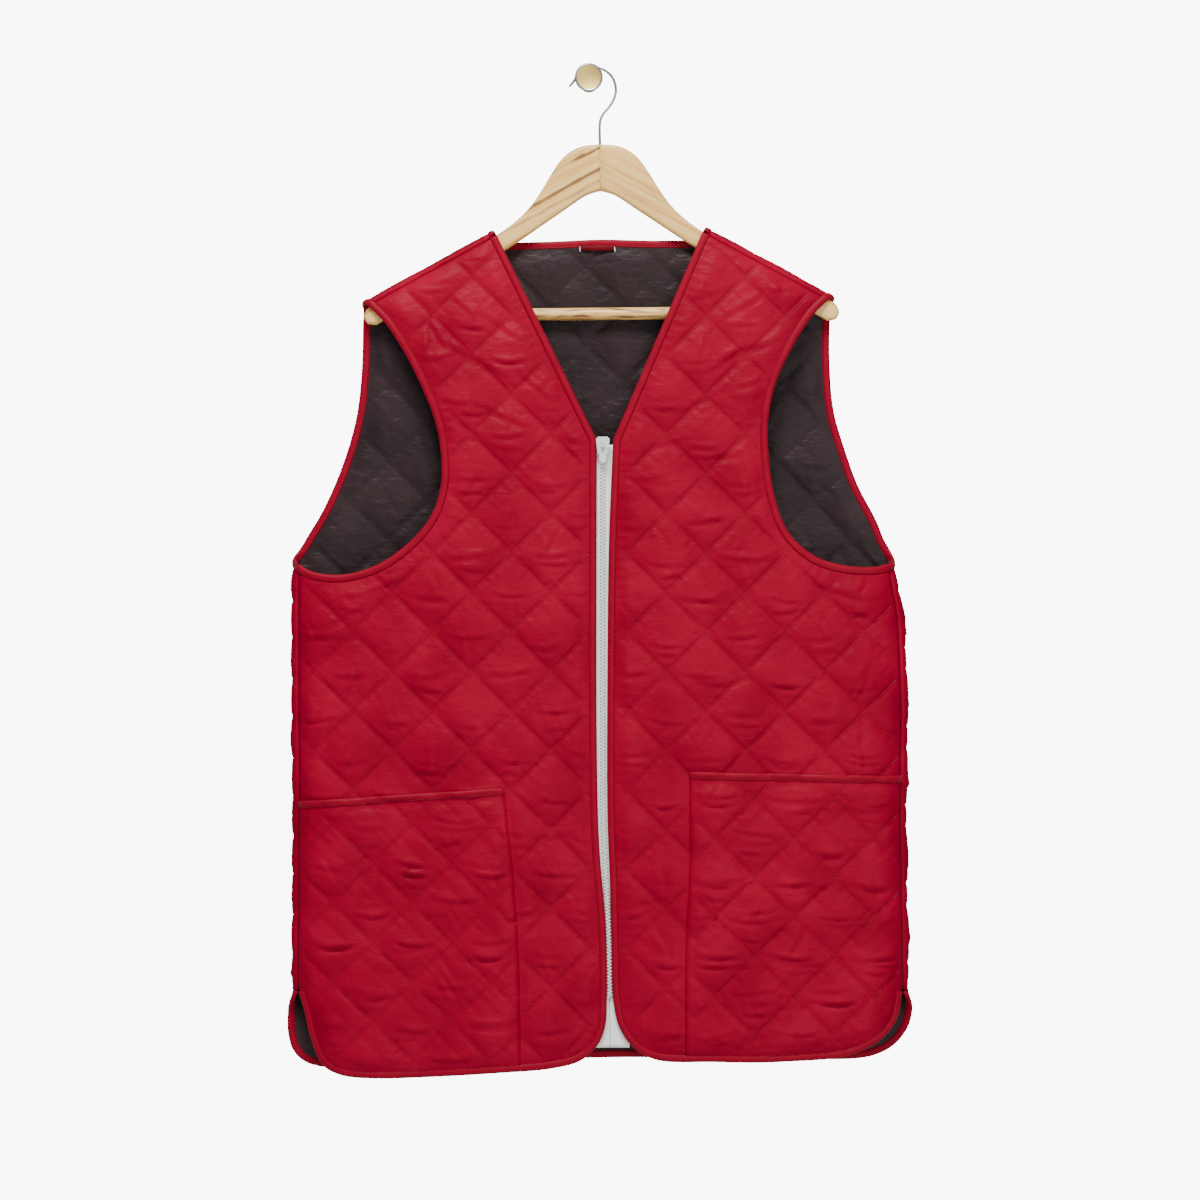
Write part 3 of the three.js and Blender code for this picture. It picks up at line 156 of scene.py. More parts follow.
BACK_HEM = (  # side, distance past the flat half, and z
    (-1, TURN_LENGTH - 0.6, VENT_TOP), (-1, TURN_LENGTH - 2.6, -848), (-1, 18, -855), (-1, 16.6, -864),
    (-1, 15.6, -880), (-1, 11, -897), (-1, 0, -908.5), (-1, -24, -914.6), (-1, -120, -911),
    (1, -272, -905.5), (1, -120, -906.5), (1, -36, -906), (1, -18, -902), (1, -2, -893), (1, 10, -878),
    (1, 15, -864), (1, 17.6, -855), (1, TURN_LENGTH - 2.6, -848), (1, TURN_LENGTH - 0.6, VENT_TOP),
)
TURN_SHARES = (1, 0.8, 0.6, 0.4, 0.2)

POCKETS = {  # the mouth's outer end, and the free edge from the mouth down
    -1: {"outer": (-300, -668), "edge": ((-88, -653.2), (-80, -728), (-74.6, -812), (-72.6, -940))},
    1: {"outer": (300, -643.4), "edge": ((82.2, -638.6), (81.9, -742), (79.2, -784), (78, -940))},
}
POCKET_BAND = 7.8
POCKET_CLEAR = 0.5
POCKET_SEWN = 0.05
POCKET_WALL = 1.4
POCKET_PUFF = PUFF - 0.6

# A crossing of the quilting's lines on each panel; 0 is the back
LATTICES = {-1: (-117.8, -475.0), 1: (60.7, -475.8), 0: (-14.3, -244.4)}
POCKET_LATTICES = {-1: (-172.2, -832.8), 1: (178.0, -773.2)}

ZIP_COLUMNS = ("z", "x")
ZIP_LINE = ((-300, 2.6), (-665, 2.3), (-722, 4.4), (-781, 7.7), (-846, 9.1), (-930, 9.6))


def smooth(low, high, value):
    """0 below low, 1 above high, and an easy rise between."""
    share = np.clip((np.asarray(value, float) - low) / (high - low), 0, 1)
    return share * share * (3 - 2 * share)


def soft_min(a, b, blend):
    return -blend * np.logaddexp(-a / blend, -b / blend)


def at_height(rows, columns, column, z):
    """A column of a table whose rows run downwards in z, read smoothly between its rows."""
    table = np.array(rows, float)
    heights = table[:, 0]
    values = table[:, columns.index(column)]
    z = np.clip(np.asarray(z, float), heights[-1], heights[0])
    last = len(heights) - 1
    i = np.clip(np.searchsorted(-heights, -z, side="right") - 1, 0, last - 1)
    above = np.maximum(np.arange(last + 1) - 1, 0)
    below = np.minimum(np.arange(last + 1) + 1, last)
    slopes = (values[below] - values[above]) / (heights[below] - heights[above])
    span = heights[i + 1] - heights[i]
    t = (z - heights[i]) / span
    rise = t * t * (3 - 2 * t)
    eased = values[i] * (1 - rise) + values[i + 1] * rise
    return eased + span * (slopes[i] * t * (1 - t) ** 2 - slopes[i + 1] * t * t * (1 - t))


def side_of(x):
    return np.where(np.asarray(x) < 0, -1, 1)


def ridge_value(side, key):
    return np.where(side < 0, RIDGES[-1][key], RIDGES[1][key])


def turn_start(side, z):
    """How far from the middle the back panel starts to turn round the side."""
    right = at_height(BODY, BODY_COLUMNS, "right", z)
    left = at_height(BODY, BODY_COLUMNS, "left", z)
    return np.where(side < 0, right, left) - TURN_TO_OUTSIDE


def over_shoulder(side, x, z):
    """How far a point lies beyond the line where the back starts to turn over the shoulder."""
    slope = ridge_value(side, "slope")
    across = (x - ridge_value(side, "x")) * side * np.sin(slope)
    return across + (z - ridge_value(side, "z")) * np.cos(slope) + RIDGE_TO_TURN


def fold_depth(x, z):
    depth = 0.0
    for across, lean, phase, height in FOLDS:
        depth = depth + height * np.sin(2 * np.pi * (x + lean * z) / across + phase)
    return smooth(-FOLDS_START, -FOLDS_FULL, -z) * depth


def front_depth(x, z):
    """Inner face of the fronts, as a depth over the plane of the hanger."""
    side = side_of(x)
    to_side = turn_start(side, z) + SEAM_RISE - np.abs(x)
    to_shoulder = SEAM_RISE - over_shoulder(side, x, z)
    inside = np.maximum(soft_min(to_side, to_shoulder, ROUNDING_BLEND), -4)
    rounding = 1 - np.exp(-inside / FRONT_ROUNDING)
    return -SEAM_DEPTH - rounding * (at_height(BODY, BODY_COLUMNS, "front", z) + fold_depth(x, z))


def back_depth(x, z):
    """Inner face of the back."""
    side = side_of(x)
    inside = soft_min(turn_start(side, z) - np.abs(x), -over_shoulder(side, x, z), ROUNDING_BLEND)
    rounding = smooth(0, BACK_ROUNDING, inside)
    return TURN_RADIUS + rounding * (
        at_height(BODY, BODY_COLUMNS, "back", z) + 0.6 * fold_depth(x + 40, z)
    )


def off_sheet(depth, facing, x, z, height):
    """Points of a sheet moved out by some height along its normal."""
    reach = 0.5
    normal = np.stack(
        [
            (depth(x + reach, z) - depth(x - reach, z)) / (2 * reach),
            np.full_like(x, -1.0),
            (depth(x, z + reach) - depth(x, z - reach)) / (2 * reach),
        ],
        axis=-1,
    )
    normal /= np.linalg.norm(normal, axis=-1, keepdims=True)
    base = np.stack([x, depth(x, z), z], axis=-1)
    return base - facing * normal * np.asarray(height, float)[..., None]


def front_point(x, z, height):
    """Place of a point of a front, at a height over its inner face."""
    x, z, height = np.broadcast_arrays(*(np.asarray(v, float) for v in (x, z, height)))
    return off_sheet(front_depth, -1, x, z, height)


def back_point(along, z, height):
    """Place of a point of the flat back panel, with the parts beyond its turns at their true length."""
    along, z, height = np.broadcast_arrays(*(np.asarray(v, float) for v in (along, z, height)))
    side = side_of(along)
    start = turn_start(side, z)
    place = off_sheet(back_depth, 1, along * start / FLAT_HALF, z, height)

    around = np.abs(along) - FLAT_HALF
    radius = TURN_RADIUS + (VENT_RADIUS - TURN_RADIUS) * smooth(-VENT_TOP, -VENT_OPENED, -z)
    angle = around / radius
    reach = radius + height
    turned = np.stack(
        [side * (start + reach * np.sin(angle)), TURN_RADIUS - radius + reach * np.cos(angle), z], axis=-1
    )
    place = np.where((around > 0)[..., None], turned, place)

    over = over_shoulder(side, along, z)
    slope = ridge_value(side, "slope")
    angle = over / TURN_RADIUS
    rise = (TURN_RADIUS + height) * np.sin(angle) - over
    turned = np.stack(
        [
            along + side * np.sin(slope) * rise,
            (TURN_RADIUS + height) * np.cos(angle),
            z + np.cos(slope) * rise,
        ],
        axis=-1,
    )
    return np.where((over > 0)[..., None], turned, place)


def flat_back(x, z):
    """Place on the flat back panel of a point seen from the front."""
    side = int(side_of(x))
    start = float(turn_start(side, z))
    beyond = abs(x) - start
    if beyond <= 0:
        return (x * FLAT_HALF / start, z)
    return (side * (FLAT_HALF + TURN_RADIUS * math.asin(beyond / TURN_TO_OUTSIDE)), z)


def flat_shoulder(side, along, over):
    """Place on the flat back panel of a point along a shoulder and over its turn."""
    ridge = RIDGES[side]
    cos = math.cos(ridge["slope"])
    sin = math.sin(ridge["slope"])
    rise = over - RIDGE_TO_TURN
    return (ridge["x"] + side * (along * cos + rise * sin), ridge["z"] - along * sin + rise * cos)


def curve_through(points, step):
    """Centripetal curve through points, with more places where they lie far apart."""
    points = np.array(points, float)
    ends = np.vstack([2 * points[0] - points[1], points, 2 * points[-1] - points[-2]])
    run = [points[0]]
    for i in range(len(points) - 1):
        p = ends[i : i + 4]
        knots = np.concatenate([[0], np.cumsum(np.linalg.norm(np.diff(p, axis=0), axis=1) ** 0.5)])
        pieces = max(1, round(float(np.linalg.norm(p[2] - p[1])) / step))
        for k in range(1, pieces + 1):
            t = knots[1] + (knots[2] - knots[1]) * k / pieces
            a = [
                (p[j] * (knots[j + 1] - t) + p[j + 1] * (t - knots[j])) / (knots[j + 1] - knots[j])
                for j in range(3)
            ]
            b = [
                (a[j] * (knots[j + 2] - t) + a[j + 1] * (t - knots[j])) / (knots[j + 2] - knots[j])
                for j in range(2)
            ]
            run.append((b[0] * (knots[2] - t) + b[1] * (t - knots[1])) / (knots[2] - knots[1]))
    return np.array(run)


def straight(start, end, step):
    start = np.array(start, float)
    end = np.array(end, float)
    count = max(1, math.ceil(float(np.linalg.norm(end - start)) / step))
    return start + (end - start) * np.linspace(0, 1, count + 1)[:, None]


EDGE_STEP = 3.0


def front_edges(side):
    """Edges of one front, from the neck end of the shoulder and round by the armhole and hem."""
    armhole = np.array(ARMHOLES[side], float)
    hem = np.array(HEMS[side], float)
    ridge = RIDGES[side]
    slope = ridge["slope"]
    drop = RIDGE_TO_TURN - SEAM_RISE
    neck = (ridge["x"] - side * drop * math.sin(slope), ridge["z"] - drop * math.cos(slope))
    armhole[0, 1] += (SEAM_RISE - over_shoulder(side, *armhole[0])) / math.cos(slope)
    for end in (armhole[-1:], hem[:1]):
        end[:, 0] = side * (turn_start(side, end[:, 1]) + SEAM_RISE)
    side_seam = straight(armhole[-1], hem[0], EDGE_STEP)
    side_seam[:, 0] = side * (turn_start(side, side_seam[:, 1]) + SEAM_RISE)
    return {
        "shoulder": straight(neck, armhole[0], EDGE_STEP),
        "armhole": curve_through(armhole, EDGE_STEP),
        "side_seam": side_seam,
        "hem": curve_through(hem, EDGE_STEP),
        "neck": straight(hem[-1], neck, EDGE_STEP),
    }


def back_edges():
    """Edges of the flat back panel; each armhole runs from the shoulder seam to the side seam."""
    edges = {}
    for side, name in ((-1, "right"), (1, "left")):
        tip = front_edges(side)["armhole"][0]
        ridge = RIDGES[side]
        along = (tip[0] - ridge["x"]) * side * math.cos(ridge["slope"])
        along -= (tip[1] - ridge["z"]) * math.sin(ridge["slope"])
        points = [
            flat_shoulder(side, along + TIP_ROUNDING * (1 - share * share), TURN_LENGTH * share)
            for share in TURN_SHARES
        ]
        points += [flat_back(x, z) for x, z in BACK_ARMHOLES[side]]
        points.append((side * (FLAT_HALF + TURN_LENGTH * UNDERARM_SHARE), UNDERARM + UNDERARM_RISE))
        points.append((side * (FLAT_HALF + TURN_LENGTH), UNDERARM))
        edges[f"{name}_armhole"] = curve_through(points, EDGE_STEP)
        edges[f"{name}_shoulder"] = straight(flat_shoulder(side, 0, TURN_LENGTH), points[0], EDGE_STEP)
        edges[f"{name}_seam"] = straight(points[-1], (side * (FLAT_HALF + TURN_LENGTH), VENT_TOP), EDGE_STEP)
    turns = {
        side: [flat_shoulder(side, 0, TURN_LENGTH * share) for share in TURN_SHARES] for side in (-1, 1)
    }
    edges["neck"] = curve_through([*turns[-1], *BACK_NECK, *turns[1][::-1]], EDGE_STEP)
    edges["hem"] = curve_through([(side * (FLAT_HALF + out), z) for side, out, z in BACK_HEM], EDGE_STEP)
    return edges


def nearest_on(edge, points):
    """Distance from each point to an open run, the nearest place on it, and how far along that is."""
    starts = edge[:-1]
    spans = np.diff(edge, axis=0)
    lengths = np.maximum((spans**2).sum(axis=1), 1e-9)
    travelled = np.concatenate([[0], np.cumsum(np.sqrt(lengths))])
    best = np.full(len(points), np.inf)
    place = np.zeros((len(points), 2))
    along = np.zeros(len(points))
    block = 4000
    for first in range(0, len(points), block):
        p = points[first : first + block]
        away = p[:, None, :] - starts
        share = np.clip((away * spans).sum(axis=2) / lengths, 0, 1)
        gap = away - share[..., None] * spans
        reach = (gap**2).sum(axis=2)
        k = reach.argmin(axis=1)
        rows = np.arange(len(p))
        best[first : first + block] = np.sqrt(reach[rows, k])
        place[first : first + block] = p - gap[rows, k]
        along[first : first + block] = travelled[k] + share[rows, k] * np.sqrt(lengths[k])
    return best, place, along


def inside_of(outline, points):
    """True for the points inside a closed outline."""
    x, z = points[:, 0], points[:, 1]
    within = np.zeros(len(points), bool)
    ends = np.roll(outline, -1, axis=0)
    for (ax, az), (bx, bz) in zip(outline, ends):
        if az == bz:
            continue
        crosses = (az > z) != (bz > z)
        within ^= crosses & (x < ax + (bx - ax) * (z - az) / (bz - az))
    return within


class Pattern:
    """One cut piece of cloth: the closed outlines it lies in, and its edges with how far it stays inside."""

    def __init__(self, outlines, edges):
        self.outlines = outlines
        self.edges = edges
        self.low = np.max([outline.min(axis=0) for outline in outlines], axis=0)
        self.high = np.min([outline.max(axis=0) for outline in outlines], axis=0)

    def room(self, points):
        """How far inside the cut each point lies, and the nearest place on the cut."""
        inside = np.all([inside_of(outline, points) for outline in self.outlines], axis=0)
        within = np.where(inside, 1.0, -1.0)
        room = np.full(len(points), np.inf)
        place = points.copy()
        for edge, inset in self.edges:
            distance, near, _ = nearest_on(edge, points)
            signed = distance * within
            inward = (points - near) * (within / np.maximum(distance, 1e-6))[:, None]
            closer = signed - inset < room
            room = np.where(closer, signed - inset, room)
            place = np.where(closer[:, None], near + inward * inset, place)
        return room, place


def quilt_mesh(pattern, lattice, cells):
    """A pattern filled with squares that follow the quilting's own lines, with its rim on the cut."""
    step = QUILT_SIDE / cells
    low, high = pattern.low, pattern.high
    corners = np.array([(x, z) for x in (low[0], high[0]) for z in (low[1], high[1])]) - lattice
    rising = (corners[:, 0] + corners[:, 1]) / math.sqrt(2)
    falling = (corners[:, 0] - corners[:, 1]) / math.sqrt(2)
    i = np.arange(math.floor(rising.min() / step), math.ceil(rising.max() / step) + 1)
    j = np.arange(math.floor(falling.min() / step), math.ceil(falling.max() / step) + 1)
    u, v = np.meshgrid(i * step, j * step, indexing="ij")
    points = np.stack([(u + v) / math.sqrt(2), (u - v) / math.sqrt(2)], axis=-1).reshape(-1, 2) + lattice

    margin = 2 * step
    boxed = ((points > low - margin) & (points < high + margin)).all(axis=1)
    room = np.full(len(points), -np.inf)
    place = points.copy()
    room[boxed], place[boxed] = pattern.room(points[boxed])
    on_rim = np.abs(room) < 0.5 * step
    points[on_rim] = place[on_rim]
    kept = (room > 0) | on_rim

    wide = len(j)
    a = (np.arange(len(i) - 1)[:, None] * wide + np.arange(wide - 1)).ravel()
    quads = np.stack([a, a + 1, a + wide + 1, a + wide], axis=1)
    count = kept[quads].sum(axis=1)
    faces = [tuple(q) for q in quads[count == 4].tolist()]
    for q in quads[count == 3].tolist():
        faces.append(tuple(k for k in q if kept[k]))
    faces = without_pinches(faces)
    rim = [a for a, _ in rim_edges(faces)]
    points[rim] = place[rim]

    used = sorted({k for face in faces for k in face})
    renamed = {k: n for n, k in enumerate(used)}
    faces = [tuple(renamed[k] for k in face) for face in faces]
    return points[used], faces


def rim_edges(faces):
    """Directed edges that only one face has."""
    directed = {(face[k - 1], face[k]) for face in faces for k in range(len(face))}
    return [edge for edge in directed if (edge[1], edge[0]) not in directed]


def without_pinches(faces):
    """Drops the faces round any point where the rim would touch itself."""
    while True:
        starts = {}
        for a, _ in rim_edges(faces):
            starts[a] = starts.get(a, 0) + 1
        pinched = {a for a, count in starts.items() if count > 1}
        if not pinched:
            return faces
        faces = [face for face in faces if not pinched.intersection(face)]


def rim_loop(faces):
    """The longest rim as a run of point numbers, in its faces' own direction."""
    following = dict(rim_edges(faces))
    loops = []
    while following:
        first = min(following)
        loop = [first]
        here = following.pop(first)
        while here != first:
            loop.append(here)
            here = following.pop(here)
        loops.append(loop)
    return max(loops, key=len)


def walled(outer, inner):
    """Closes two flat meshes of one outline into the two faces of a wall.

    Returns the flat places, which of them are outer, the faces, and which faces are outer, rim or inner.
    """
    (outer_points, outer_faces), (inner_points, inner_faces) = outer, inner
    base = len(outer_points)
    points = np.vstack([outer_points, inner_points])
    faces = list(outer_faces) + [tuple(k + base for k in face[::-1]) for face in inner_faces]
    parts = [0] * len(outer_faces) + [2] * len(inner_faces)

    top = rim_loop(outer_faces)
    under = [k + base for k in rim_loop(inner_faces)]
    gaps = ((points[under] - points[top[0]]) ** 2).sum(axis=1)
    start = int(gaps.argmin())
    under = under[start:] + under[:start]
    i = j = 0
    while i < len(top) or j < len(under):
        a, b = top[i % len(top)], under[j % len(under)]
        next_a, next_b = top[(i + 1) % len(top)], under[(j + 1) % len(under)]
        to_a = ((points[next_a] - points[b]) ** 2).sum()
        to_b = ((points[next_b] - points[a]) ** 2).sum()
        if i < len(top) and (j >= len(under) or to_a <= to_b):
            faces.append((next_a, a, b))
            i += 1
        else:
            faces.append((a, b, next_b))
            j += 1
        parts.append(1)
    outside = np.arange(len(points)) < base
    return points, outside, faces, np.array(parts)


def add_piece(name, places, faces, materials, chosen=None, body="vest", flat=False):
    """A mesh in the part's frame from places in millimetres, riding on a CAD body."""
    mesh = bpy.data.meshes.new(name)
    places = (np.asarray(places, float).reshape(-1, 3) + HANGER) / 1000
    mesh.from_pydata(places.tolist(), [], [tuple(face) for face in faces])
    for material in materials:
        mesh.materials.append(material)
    if chosen is not None:
        mesh.polygons.foreach_set("material_index", np.asarray(chosen, np.int32))
    if not flat:
        mesh.shade_smooth()
    mesh.validate()
    piece = bpy.data.objects.new(name, mesh)
    bpy.context.collection.objects.link(piece)
    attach(piece, body)
    return piece


def through_rings(rings, closed=False):
    """Faces through equal rings of places, joined on themselves or capped at both ends."""
    rings = np.asarray(rings, float)
    count, size = rings.shape[:2]
    faces = []
    for r in range(count if closed else count - 1):
        here = r * size
        after = ((r + 1) % count) * size
        for k in range(size):
            next_k = (k + 1) % size
            faces.append((here + k, here + next_k, after + next_k, after + k))
    if not closed:
        faces.append(tuple(range(size))[::-1])
        faces.append(tuple((count - 1) * size + k for k in range(size)))
    return rings.reshape(-1, 3), faces


def outward(places, faces):
    """The faces, all turned round if they enclose their solid inside out."""
    fans = np.array([(face[0], face[k], face[k + 1]) for face in faces for k in range(1, len(face) - 1)])
    a, b, c = (np.asarray(places, float)[fans[:, k]] for k in range(3))
    volume = (a * np.cross(b, c)).sum()
    return faces if volume > 0 else [tuple(face)[::-1] for face in faces]


# Surface of the quilting
SAG = 0.28
UNEVEN_PUFF = 0.16
PUCKER_HEIGHT = 0.5
PUCKER_REACH = 6.5


def chance(i, j, seed):
    """A fixed number from 0 to 1 for each quilted square."""
    value = np.sin(np.asarray(i) * 12.9898 + np.asarray(j) * 78.233 + seed * 37.719) * 43758.5453
    return value - np.floor(value)


def uneven(x, z, size, seed):
    """Smooth hills and hollows from -1 to 1, about one size apart."""
    u = np.asarray(x, float) / size
    v = np.asarray(z, float) / size
    i, j = np.floor(u), np.floor(v)
    s, t = u - i, v - j
    s = s * s * (3 - 2 * s)
    t = t * t * (3 - 2 * t)
    low = chance(i, j, seed) * (1 - s) + chance(i + 1, j, seed) * s
    high = chance(i, j + 1, seed) * (1 - s) + chance(i + 1, j + 1, seed) * s
    return (low * (1 - t) + high * t) * 2 - 1


def quilt_place(lattice, x, z):
    """Which quilted square a point is in, counted along both ways of the lines, with the parts of one."""
    a = (x - lattice[0] + z - lattice[1]) / QUILT_DIAGONAL
    b = (x - lattice[0] - z + lattice[1]) / QUILT_DIAGONAL
    return a, b


def quilt_height(lattice, x, z):
    """From 0 on a quilting line to about 1 in a square, fullest a little below its middle."""
    a, b = quilt_place(lattice, x, z)
    dome = np.abs(np.sin(np.pi * a) * np.sin(np.pi * b)) ** 0.42
    upness = (a - np.floor(a)) - (b - np.floor(b))
    fullness = 1 + UNEVEN_PUFF * (2 * chance(np.floor(a), np.floor(b), 1) - 1)
    return dome * (1 - SAG * upness) * fullness


def puckers(lattice, x, z):
    """Small gathers that cross each quilting line, strongest beside it."""
    a, b = quilt_place(lattice, x, z)
    total = 0.0
    for across, along in ((a, b), (b, a)):
        line = np.round(across)
        distance = np.abs(across - line) * QUILT_SIDE
        t = along * QUILT_SIDE
        wave = np.sin(t * 0.93 + 5 * chance(line, 3, 2)) + np.sin(t * 0.61 + 9 * chance(line, 7, 4))
        wave = wave * (0.5 + 0.5 * uneven(t, line * 50, 17, 5))
        near = np.exp(-distance / PUCKER_REACH) * (1 - np.exp(-distance / 1.2))
        total = total + PUCKER_HEIGHT * near * wave
    return total


def crease(x, z, row):
    """One soft trough with a raised lip, for a row of a crease table."""
    cx, cz, angle, length, width, depth, bend = row
    cos, sin = math.cos(math.radians(angle)), math.sin(math.radians(angle))
    height = np.zeros(len(x))
    reach = 0.75 * length + 4 * width
    near = (np.abs(x - cx) < reach) & (np.abs(z - cz) < reach)
    s = (x[near] - cx) * cos + (z[near] - cz) * sin
    n = (z[near] - cz) * cos - (x[near] - cx) * sin - bend * s * s / length
    window = np.exp(-((s / (0.5 * length)) ** 4))
    trough = -np.exp(-((n / width) ** 2))
    lip = 0.75 * np.exp(-(((n - 1.7 * width) / (1.3 * width)) ** 2))
    height[near] = depth * window * (trough + lip)
    return height


SMILE_SHARE = 0.85
FAN_SHARE = 0.8


def small_creases(lattice, x, z, flatness, seed):
    """Creases in each square: arcs that sag over its lower corner, and fans that rise from its corners.

    flatness turns the fans into more of the level arcs, as on the pockets.
    """
    rng = np.random.default_rng(seed)
    a, b = quilt_place(lattice, x, z)
    height = np.zeros(len(x))
    cells = sorted({(int(i), int(j)) for i, j in zip(np.floor(a), np.floor(b))})
    for i, j in cells:
        cx = lattice[0] + QUILT_DIAGONAL / 2 * (i + j + 1)
        cz = lattice[1] + QUILT_DIAGONAL / 2 * (i - j)
        draws = rng.random(40)
        for k in range(1 + round(3 * flatness)):
            if draws[k] < SMILE_SHARE:
                drop = 6 + 18 * draws[k + 4] - 14 * flatness * draws[k + 8]
                span = (QUILT_DIAGONAL / 2 - abs(drop)) * (0.9 + 0.5 * draws[k + 12])
                row = (
                    cx + 7 * (draws[k + 16] - 0.5),
                    cz - drop,
                    16 * (draws[k + 20] - 0.5),
                    span,
                    1.5 + 1.4 * draws[k + 24],
                    0.35 + 0.75 * draws[k + 28],
                    0.12 + 0.25 * draws[k + 32],
                )
                height += crease(x, z, row)
        for k in range(2):
            if draws[36 + k] < FAN_SHARE * (1 - 0.6 * flatness):
                lean = 90 + 70 * (draws[k + 2] - 0.5)
                rise = (0.25 + 0.5 * draws[k + 6]) * QUILT_DIAGONAL / 2 * (1 if draws[k + 10] < 0.35 else -1)
                row = (
                    cx + 9 * (draws[k + 14] - 0.5),
                    cz + 0.5 * rise,
                    lean,
                    11 + 17 * draws[k + 18],
                    1.5 + 1.3 * draws[k + 22],
                    0.35 + 0.6 * draws[k + 26],
                    0.2 * (draws[k + 30] - 0.5),
                )
                height += crease(x, z, row)
    return height


# Finishes
def linear(hex_colour):
    """The linear colour of an sRGB hex value."""
    parts = [int(hex_colour[k : k + 2], 16) / 255 for k in (0, 2, 4)]
    return tuple(c / 12.92 if c <= 0.04045 else ((c + 0.055) / 1.055) ** 2.4 for c in parts) + (1.0,)


def node(tree, kind, settings=None, inputs=None, links=None, stops=()):
    """Adds one node with its settings, its inputs' values, the sockets linked to it and a ramp's colours."""
    made = tree.nodes.new(kind)
    for name, value in (settings or {}).items():
        setattr(made, name, value)
    for name, value in (inputs or {}).items():
        made.inputs[name].default_value = value
    for name, socket in (links or {}).items():
        tree.links.new(socket, made.inputs[name])
    for count, (position, colour) in enumerate(stops):
        if count >= len(made.color_ramp.elements):
            made.color_ramp.elements.new(position)
        made.color_ramp.elements[count].position = position
        made.color_ramp.elements[count].color = linear(colour)
    return made


def new_finish(name, **values):
    """A material with one principled shader, its plain values set on the shader itself."""
    material = bpy.data.materials.new(name)
    material.use_nodes = True
    tree = material.node_tree
    shader = tree.nodes["Principled BSDF"]
    for key, value in values.items():
        shader.inputs[key.replace("_", " ")].default_value = value
    place = node(tree, "ShaderNodeTexCoord").outputs["Object"]
    return material, tree, shader, place


def mottle(tree, place, size_mm, stretch=(1, 1, 1), detail=2.0, distortion=0.0):
    """Random patches about size_mm across, from 0 to 1, longer along any axis with a stretch above 1."""
    scaled = node(
        tree,
        "ShaderNodeMapping",
        inputs={"Scale": tuple(1000 / (size_mm * s) for s in stretch)},
        links={"Vector": place},
    )
    patches = node(
        tree,
        "ShaderNodeTexNoise",
        inputs={"Scale": 1.0, "Detail": detail, "Distortion": distortion},
        links={"Vector": scaled.outputs["Vector"]},
    )
    return patches.outputs["Fac"]


def weave(tree, place, thread_mm, turned=0.0):
    """Over-and-under threads, as two crossed waves, from 0 to 1."""
    turned_place = node(
        tree, "ShaderNodeMapping", inputs={"Rotation": (0, turned, 0)}, links={"Vector": place}
    ).outputs["Vector"]
    ways = [
        node(
            tree,
            "ShaderNodeTexWave",
            settings={"bands_direction": direction},
            inputs={"Scale": 1000 / (thread_mm * 20) * math.pi, "Distortion": 0.0},
            links={"Vector": turned_place},
        ).outputs["Fac"]
        for direction in ("X", "Z")
    ]
    crossed = node(tree, "ShaderNodeMath", {"operation": "MULTIPLY"}, links={0: ways[0], 1: ways[1]})
    return crossed.outputs["Value"]


def add_relief(tree, shader, layers):
    """Fine relief in layers, each a height from 0 to 1 and the millimetres that 1 stands for."""
    links = {}
    for height, depth_mm in layers:
        links["Height"] = height
        bumped = node(tree, "ShaderNodeBump", inputs={"Distance": depth_mm / 1000}, links=links)
        links["Normal"] = bumped.outputs["Normal"]
    tree.links.new(links["Normal"], shader.inputs["Normal"])


def quilted_nylon(name, colours, satin, wrinkle_mm):
    """Thin plain-woven nylon over wadding, finely wrinkled by washing.

    The eye sees a soft satin, a little lighter on the rounds, in slightly uneven colour. The real threads
    are 0.1 mm across and don't show, so the weave is drawn at 0.9 mm.
    """
    material, tree, shader, place = new_finish(
        name, Roughness=0.46, Specular_IOR_Level=satin, Sheen_Weight=0.06, Sheen_Roughness=0.4
    )
    shader.inputs["Sheen Tint"].default_value = linear(colours[2])
    cloudy = mottle(tree, place, 55, detail=3.0)
    ramped_colour = node(
        tree, "ShaderNodeValToRGB", links={"Fac": cloudy}, stops=tuple(zip((0.3, 0.5, 0.72), colours))
    )
    tree.links.new(ramped_colour.outputs["Color"], shader.inputs["Base Color"])
    small = mottle(tree, place, 5.0, stretch=(1.7, 1, 0.75), detail=3.0, distortion=0.4)
    wide = mottle(tree, place, 15, stretch=(1.3, 1, 0.9), distortion=0.5)
    threads = weave(tree, place, 0.9)
    add_relief(tree, shader, ((threads, 0.02), (small, wrinkle_mm), (wide, wrinkle_mm * 2.0)))
    return material


def woven_tape(name, colours, thread_mm, depth_mm, roughness=0.55):
    """Flat woven tape or bias strip: close matt threads, just seen, in very slightly uneven colour."""
    material, tree, shader, place = new_finish(
        name, Roughness=roughness, Sheen_Weight=0.03, Sheen_Roughness=0.5, Specular_IOR_Level=0.08
    )
    cloudy = mottle(tree, place, 18, detail=3.0)
    ramped_colour = node(tree, "ShaderNodeValToRGB", links={"Fac": cloudy}, stops=tuple(zip((0.25, 0.75), colours)))
    tree.links.new(ramped_colour.outputs["Color"], shader.inputs["Base Color"])
    threads = weave(tree, place, thread_mm, math.radians(45))
    add_relief(tree, shader, ((threads, depth_mm), (mottle(tree, place, 6), depth_mm * 4)))
    return material


def sewing_thread(name, colour, lit):
    """Twisted polyester thread: each stitch is a little glossy, with painted highlight and shade in its
    colour along its twist, from its own colour to a lighter lit colour.
    """
    material, tree, shader, place = new_finish(name, Roughness=0.5, Specular_IOR_Level=0.2)
    # painted highlight and shade: a fine noise mixes the thread's colour with the lit colour, standing for
    # the light on its twisted plies
    twist = mottle(tree, place, 0.8, detail=1.0)
    ramped_colour = node(tree, "ShaderNodeValToRGB", links={"Fac": twist}, stops=((0.3, colour), (0.7, lit)))
    tree.links.new(ramped_colour.outputs["Color"], shader.inputs["Base Color"])
    return material


